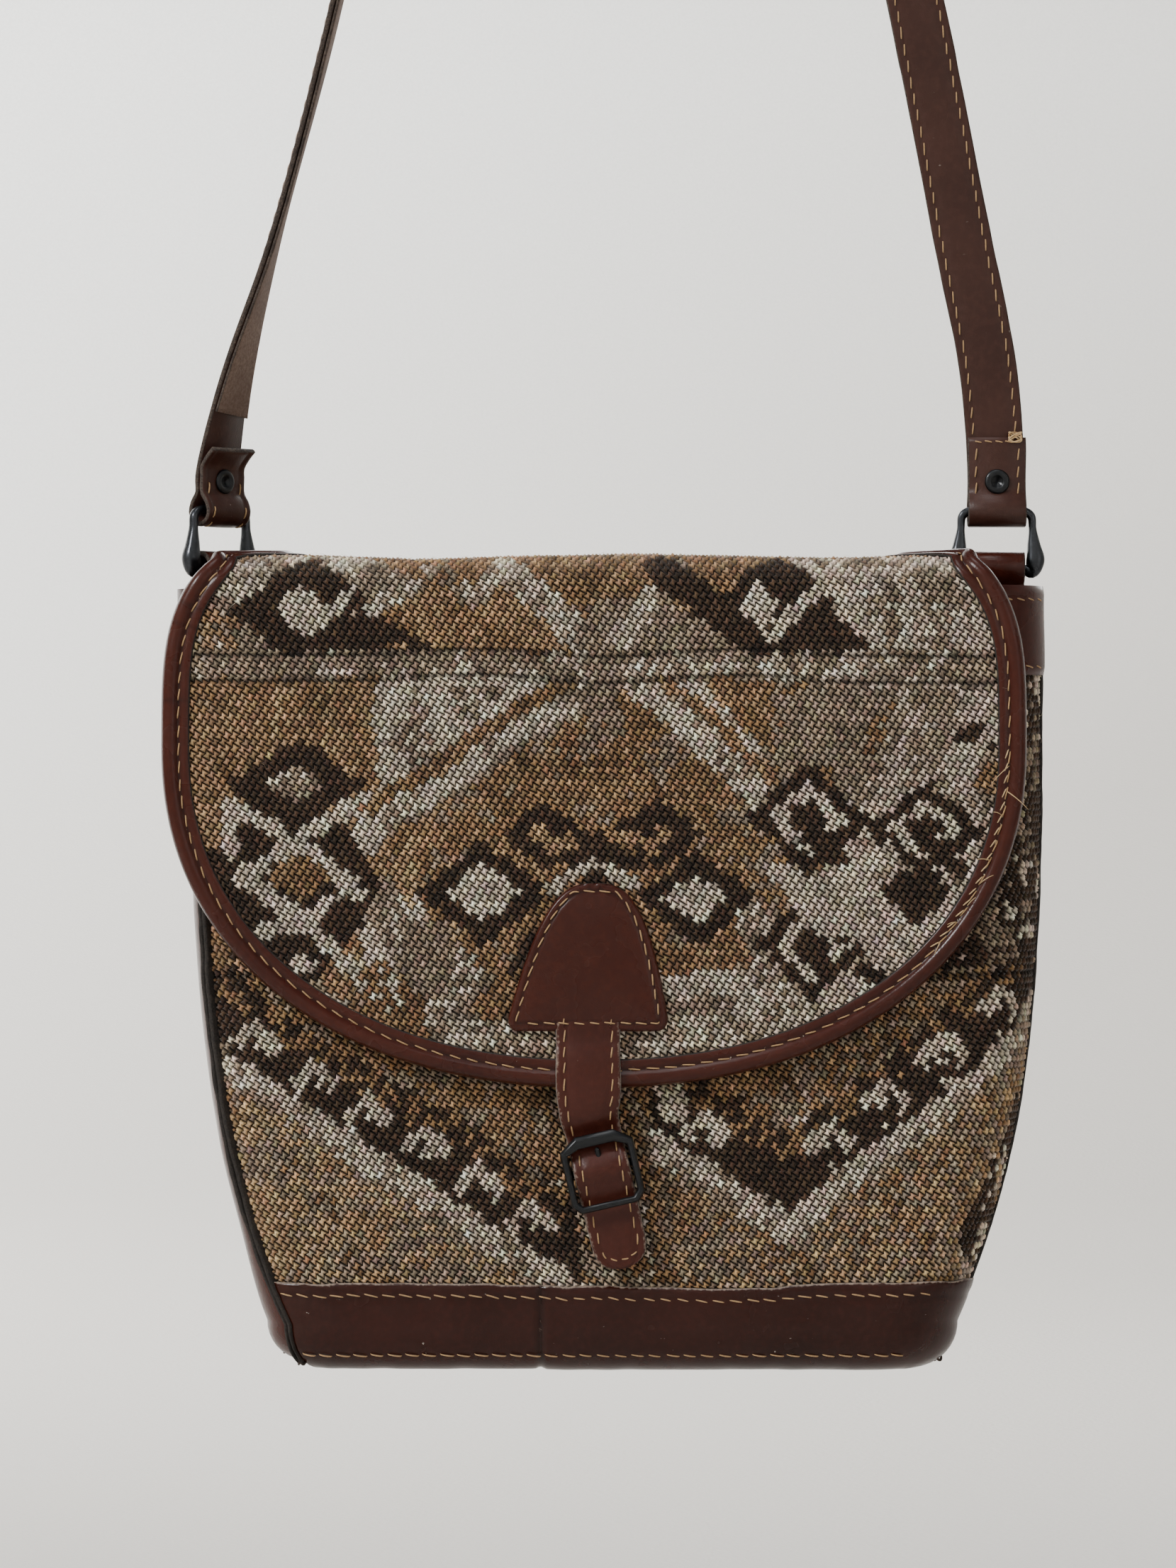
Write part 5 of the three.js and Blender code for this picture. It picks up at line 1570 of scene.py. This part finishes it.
def front_top_band():
    s = np.linspace(seam_s(-1, -1, -20) + 1.5, seam_s(-1, 1, -20) - 1.5, 230)[None]
    v = np.linspace(PANEL_TOP + 0.5, TOP_BAND_FOOT, 12)[:, None]
    z = v + 0.5 * noise(s, 0 * s, 30, 14)
    row = np.arange(len(v))[:, None] + 0 * s
    soft = np.where((row == 0) | (row == len(v) - 1), -0.5, 0.0)
    out = 2.0 + soft + 0.2 * noise(s, z, 16, 15)
    s = np.broadcast_to(s, z.shape)
    under = wall(-1, s, z, np.full(z.shape, GLUE_GAP))
    points, faces, is_edge = slab(wall(-1, s, z, out), under)
    shape = Shape()
    shape.add(points, faces, np.where(is_edge, 1, 0))

    def front(a, b, out):
        return wall(-1, a, b, out)

    for level in (PANEL_TOP - 4, TOP_BAND_FOOT + 3):
        path = np.stack([s[0, 2:-2], 0 * s[0, 2:-2] + level], 1)
        surface_stitches(shape, front, path, 1.9, THREAD_SLOT, pitch=5.8, long=4.4, slant=0.8)
    skins = [LEATHER, RAW_GREY, FLESH, THREAD]
    band = shape.made("front_edge_band", skins, "bag", "dark_leather")
    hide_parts("front_top_band")


def gussets():
    for word, sign in (("left", -1), ("right", 1)):
        v = np.concatenate([
            np.linspace(PANEL_TOP, ROLL_Z, 60), np.linspace(ROLL_Z, ROLL_END, 10)[1:],
        ])
        grids = []
        for out in (0.0, -2.2):
            rows = []
            for z in v:
                front_s = abs(seam_s(-1, sign, z))
                back_s = abs(seam_s(1, sign, z))
                end = half_width(max(z, ROLL_Z)) - CORNER + CORNER * PI / 2 + HALF_DEPTH - CORNER
                near = np.linspace(front_s, end, 26)
                far = np.linspace(end, back_s, 14)[1:]
                waist = -1.6 * math.sin(min(max(-z / 270, 0), 1) * PI)
                a = wall(-1, sign * near, z, out)
                b = wall(1, sign * far, z, out)
                line = np.concatenate([a, b])
                pull = np.sin(np.linspace(0, PI, len(line)))
                line[:, 0] += sign * waist * pull
                rows.append(line)
            grids.append(np.array(rows))
        points, faces, is_edge = slab(*grids)
        shape = Shape()
        shape.add(points, faces, np.where(is_edge, 1, 0))
        gusset = shape.made(f"side_gusset_{word}", [LEATHER, PAINTED], "bag", "dark_leather")
        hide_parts(f"gusset_{word}")


def seam_welts():
    """Two raw leather edges, side by side, standing out along every upright seam."""
    round_roll = ROLL_Z - ROLL * np.radians(np.arange(0, 56, 5))
    v = np.concatenate([np.arange(PANEL_TOP, ROLL_Z, -2.0), round_roll])
    section = np.array([
        (-0.72, -2.2), (-0.72, 0.8), (-0.5, 1), (0.5, 1), (0.72, 0.8), (0.72, -2.2),
    ])
    for name, side_y, sign, proud in (
        ("front_left", -1, -1, 2.8), ("front_right", -1, 1, 1.1),
        ("back_left", 1, -1, 1.4), ("back_right", 1, 1, 2.6),
    ):
        shape = Shape()
        for ply, shift in enumerate((-0.85, 0.85)):
            middle = seam_s(side_y, sign, v) + shift
            tip = 1 - 0.35 * smooth_step(-v, 255, 270)
            rise = proud + 0.14 * proud * noise(v, 0 * v, 11, 40 + ply)
            rise = rise + 0.07 * proud * noise(v, 0 * v, 3, 42 + ply)
            s = middle[:, None] + section[:, 0] * tip[:, None]
            out = np.where(section[:, 1] < 0, section[:, 1], section[:, 1] * rise[:, None])
            points = wall(side_y, s, v[:, None] + 0 * s, out)
            shape.add(points.reshape(-1, 3), tube_faces(len(v), len(section)))
        knot_t = np.linspace(0, 4 * PI, 40)
        foot = wall(side_y, seam_s(side_y, sign, v[-1]), v[-1], 2.0)
        turns = [1.1 * np.cos(knot_t), 1.1 * np.sin(knot_t), 0.9 * np.sin(knot_t * 1.5)]
        tube(shape, foot + np.stack(turns, 1), 0.45, 1)
        welt = shape.made(f"welt_{name}", [PAINTED, RAW_DARK], "bag", "edge_paint")
        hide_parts(f"seam_{name}")


def lining_sack():
    """The cotton sack inside, hemmed at the mouth and open at the top."""
    mouth, clear = -32, 6
    round_foot = np.linspace(ROLL_Z, ROLL_Z - 21, 8)
    levels = np.concatenate([np.linspace(mouth, ROLL_Z, 50), round_foot[1:]])

    def grid(out):
        rows = []
        for z in levels:
            end = half_width(max(z, ROLL_Z)) - clear - CORNER + CORNER * PI / 2
            s = np.linspace(-end, end, 84)
            parts = [wall_inner(side_y, -side_y * s, z, out, clear) for side_y in (-1, 1)]
            rows.append(np.concatenate(parts))
        return np.array(rows)

    face_out = -3.3
    outer, inner = grid(face_out), grid(face_out - 1)
    rows, columns = outer.shape[:2]
    stack = np.concatenate([inner[::-1], outer])
    faces = grid_faces(2 * rows, columns, closed=True).tolist()
    faces += [list(range(columns)), list(range((2 * rows - 1) * columns, 2 * rows * columns))[::-1]]
    shape = Shape()
    shape.add(stack.reshape(-1, 3), faces)
    sack = shape.made("lining_sack", [COTTON], "bag", "cotton_lining")
    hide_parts("main_lining")


def wall_inner(side_y, s, z, out, clear):
    """wall() for the sack, whose half width is clear less."""
    level = max(z, ROLL_Z)
    roll = min(max((ROLL_Z - z) / ROLL, 0), PI / 2)
    straight = half_width(level) - clear - CORNER
    turn = np.clip((np.abs(s) - straight) / CORNER, 0, PI / 2)
    reach = CORNER - ROLL + (ROLL + out) * math.cos(roll)
    ripple = 0.5 * noise(s, 0 * s + z, 23, 88) * np.cos(turn)
    x = np.sign(s) * (np.minimum(np.abs(s), straight) + reach * np.sin(turn))
    y = side_y * (HALF_DEPTH - CORNER + (reach - np.abs(ripple)) * np.cos(turn))
    z = 0 * x + level - (ROLL + out) * math.sin(roll)
    return np.stack([x + side_tuck(x, y, level), y, z], -1)


# ---- rings, tabs and the shoulder strap ----
def ring_axes(side):
    """Across the ring and out of its front face."""
    c, s = math.cos(RING_TURN[side]), math.sin(RING_TURN[side])
    return np.array([c, s, 0]), np.array([s, -c, 0])


def beside_ring(side, bar_z, facing, rise):
    return np.array([side * RING_X, 0, bar_z + rise]) + ring_axes(side)[1] * facing


def ring(side, word, body):
    """Straight bars joined by arms that swell into heavy lobes at the foot."""
    low_bar = -19.7
    half = [
        (0, 0, 1.6, 1.6), (9.6, 0, 1.6, 1.6), (11.9, -1.6, 1.5, 1.6), (12.4, -6, 1.4, 1.7),
        (12.9, -12, 2.4, 2.4), (13.4, -17, 3.2, 3.0), (12.0, -20.8, 2.4, 2.4),
        (8.6, low_bar, 1.5, 1.5), (0, low_bar, 1.5, 1.5),
    ]
    loop = np.array(half + [(-x, z, r, f) for x, z, r, f in half[-2:0:-1]])
    wrapped = np.concatenate([loop[-2:], loop, loop[:3]])
    flat = np.insert(wrapped, 1, 0, axis=1)
    fine = curve_through(flat, 0.55)
    start = np.argmin(np.hypot(fine[:60, 0] - loop[0, 0], fine[:60, 2] - loop[0, 1]))
    ends = np.hypot(fine[-60:, 0] - loop[0, 0], fine[-60:, 2] - loop[0, 1])
    stop = len(fine) - 60 + np.argmin(ends)
    fine = fine[start:stop]
    across, facing = ring_axes(side)
    centre = np.array([side * RING_X, 0, RING_TOP_Z])
    route = centre + fine[:, :1] * across + fine[:, 2:3] * np.array([0, 0, 1.0])
    b = np.linspace(0, 2 * PI, 16, endpoint=False)
    power = 0.8
    cos, sin = np.cos(b), np.sin(b)
    round_x = np.sign(cos) * np.abs(cos) ** power
    round_y = np.sign(sin) * np.abs(sin) ** power
    section = np.stack([fine[:, 4:5] * round_x, fine[:, 3:4] * round_y], -1)
    points, faces = sweep(route, np.tile(facing, (len(route), 1)), section, closed=True)
    shape = Shape()
    shape.add(points, faces)
    made = shape.made(f"strap_ring_{word}", [GUNMETAL], body, "gunmetal")
    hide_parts(f"ring_{word}")


def half_turn(up):
    """A half circle over a ring's bar, or under it where up is -1, as [facing, rise]."""
    angles = np.radians(range(0, 181, 30))
    return [(LOOP_RADIUS * math.cos(a), up * LOOP_RADIUS * math.sin(a)) for a in angles]


def ring_tab(side, word):
    """A leather loop over the ring's low bar; its ends turn flat against the gusset inside."""
    sewn_x = half_width(-40) - 2.2 - 0.3 - STRAP_THICK - 0.2
    start = RING_TURN[side]

    def down(share, layer, rise):
        turn = start + (PI / 2 - start) * share
        out = np.array([math.sin(turn), -math.cos(turn), 0]) * layer
        x = side * (RING_X + (sewn_x - RING_X) * share)
        return [*(out + [x, 0, RING_LOW_Z + rise]), math.cos(turn), math.sin(turn), 0]

    def leg(layer):
        return [
            down(0, 3.6 * layer, -3.1), down(0, 1.1 * layer, -7), down(0.5, 1.1 * layer, -16),
            down(1, 1.1 * layer, -26), down(1, 1.1 * layer, -42),
        ]

    across = ring_axes(side)[0]
    over = [[*beside_ring(side, RING_LOW_Z, f, r), *across] for f, r in half_turn(1)]
    shape = Shape()
    stops = leg(1)[::-1] + over + leg(-1)
    strip(shape, stops, STRAP_WIDTH - 1, STRAP_THICK, groove=2.4, step=1.2, kinds=(0, 1, 0))
    tab = shape.made(f"ring_tab_leather_{word}", [LEATHER, RAW_DARK, FLESH], "bag", "dark_leather")
    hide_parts(f"ring_tab_{word}")


def folded_end(side):
    """The strap's folded end from its free tip, down round the ring's top bar and up again."""
    layer = 1.35
    tip = [(7, 21), (3.8, 18.2), (layer, 15)] if side < 0 else [(layer, 25.5), (layer, 15)]
    down = [(layer, 12), (layer, 6.4), (3.6, 3.1)]
    up = [(-3.6, 3.1), (-layer, 6.4), (-layer, 12)]
    section = [*tip, *down, *half_turn(-1), *up]
    across = ring_axes(side)[0]
    return [[*beside_ring(side, RING_TOP_Z, f, r), *across] for f, r in section]


def strap_stops():
    peg, crown_x = 12, HANG_SHIFT
    middle = peg + BACKING_THICK + 0.3 + STRAP_THICK / 2
    crown_z = HANG_DROP - peg

    def leg(stops):
        turned = [(x, z, math.radians(a)) for x, z, a in stops]
        return [[x, 0, z, math.cos(a), math.sin(a), 0] for x, z, a in turned]

    left = leg([(-129.5, 62, 66), (-116, 112, 90), (-96, 188, 90), (-54, 380, 90), (-19, 560, 90)])
    crown = [
        [crown_x + middle * math.cos(a), 0, crown_z + middle * math.sin(a), 0, 1, 0]
        for a in map(math.radians, (180, 140, 90, 40, 0))
    ]
    right = leg([(30, 560, 90), (65, 380, 60), (107.5, 188, 8), (122.5, 112, 0), (131.5, 66, 0)])
    return folded_end(-1), left + crown + right, folded_end(1)[::-1]


def shoulder_strap():
    fold_left, run_stops, fold_right = strap_stops()
    shape = Shape()
    stops = fold_left + run_stops + fold_right
    size = (STRAP_WIDTH, STRAP_THICK)
    run = strip(shape, stops, *size, groove=2.7, step=1.6, kinds=(0, 1, 0), seed=16)
    strip_stitches(shape, run[14:-14], *size, 2.7, pitch=5.8, long=4.4, slant=0.7)
    strap_extras(shape)
    skins = [STRAP_SKIN, RAW_DARK, FLESH, THREAD, PALE_THREAD, RAW_GREY]
    strap = shape.made("strap_leather", skins, "strap", "strap_leather")
    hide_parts("shoulder_strap")

    backing = Shape()
    inner = run[run[:, 2] > BACKING_FOOT]
    section, kind = strip_section(STRAP_WIDTH / 2 - 0.3, BACKING_THICK, 0)
    section = section * [1, -1] - [0, (STRAP_THICK + BACKING_THICK) / 2 + 0.3]
    points, faces = sweep(inner[:, :3], inner[:, 3:6], section, inner[:, 6])
    index = np.concatenate([np.tile(kind, len(inner) - 1), [1, 1]])
    backing.add(points, faces, np.where(index == 1, 1, 0))
    made = backing.made("strap_backing_leather", [FLESH, RAW_DARK], "strap", "raw_leather")
    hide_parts("strap_backing")


def strap_extras(shape):
    """The knotted thread above the right eyelet, the stitch rows across the right folded end, and
    the stitching up both folded ends.
    """
    across, facing = ring_axes(1)
    random = np.random.default_rng(4)
    base = beside_ring(1, RING_TOP_Z, 2.6, 25.5)
    t = np.linspace(0, 1, 40)
    for k in range(5):
        phase = random.uniform(0, 6, 3)
        route = (
            base + np.outer(6.2 + 2.2 * np.sin(9 * t + phase[0]), across)
            + np.outer(0.4 + 0.5 * np.abs(np.sin(11 * t + phase[1])), facing)
            + np.outer(1.7 * np.sin(7 * t + phase[2]), [0, 0, 1.0])
        )
        tube(shape, route, 0.27, THREAD_SLOT if k % 2 else LOOSE_SLOT, 5)
    line = np.linspace(-8, 8, 40)
    forwards = np.tile(facing, (len(line), 1))
    for rise in (24.0, 3.4):
        route = beside_ring(1, RING_TOP_Z, 2.25, rise) + np.outer(line, across)
        stitches(shape, route, forwards, THREAD_SLOT, pitch=3.4, long=2.8)
    for side, top in ((-1, 14), (1, 22.5)):
        across, facing = ring_axes(side)
        up = beside_ring(side, RING_TOP_Z, 2.3, 0) + np.outer(np.linspace(5, top, 40), [0, 0, 1.0])
        forwards = np.tile(facing, (len(up), 1))
        how = {"pitch": 5.8, "long": 4.4, "slant": 0.5}
        for edge in (-7.3, 7.3):
            stitches(shape, up + across * edge, forwards, THREAD_SLOT, **how)


def eyelet(side, word):
    across, facing = ring_axes(side)
    place = beside_ring(side, RING_TOP_Z, 0, 10.2)
    rim = [
        (0.05, -2.55), (1.7, -2.6), (1.9, -2.9), (2.2, -3.2), (3.1, -3.4), (3.95, -3.15),
        (4.3, -2.7), (3.8, -2.45), (2.7, -2.45),
    ]
    profile = rim + [(r, -y) for r, y in rim[::-1]]
    a = np.linspace(0, 2 * PI, 40, endpoint=False)
    up = np.array([0, 0, 1.0])
    points = np.array([
        [place + (across * math.cos(t) + up * math.sin(t)) * r + facing * y for r, y in profile]
        for t in a
    ])
    shape = Shape()
    shape.add(points.reshape(-1, 3), hoop_faces(*points.shape[:2]))
    made = shape.made(f"eyelet_rim_{word}", [BLACK_METAL], "strap", "black_metal")
    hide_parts(f"eyelet_{word}")


# ---- the model ----
camera_and_stage()
flap_cloth()
wall_cloth("front_weave", -1, front_pattern, "front_panel")
wall_cloth("back_weave", 1, back_pattern, "back_panel")
flap_binding()
flap_linings()
closure_patch()
closure_strap()
buckle_anchor()
buckle()
prong()
base_band()
front_top_band()
gussets()
seam_welts()
lining_sack()
ring(-1, "left", "left_ring")
ring(1, "right", "right_ring")
ring_tab(-1, "left")
ring_tab(1, "right")
shoulder_strap()
eyelet(-1, "left")
eyelet(1, "right")
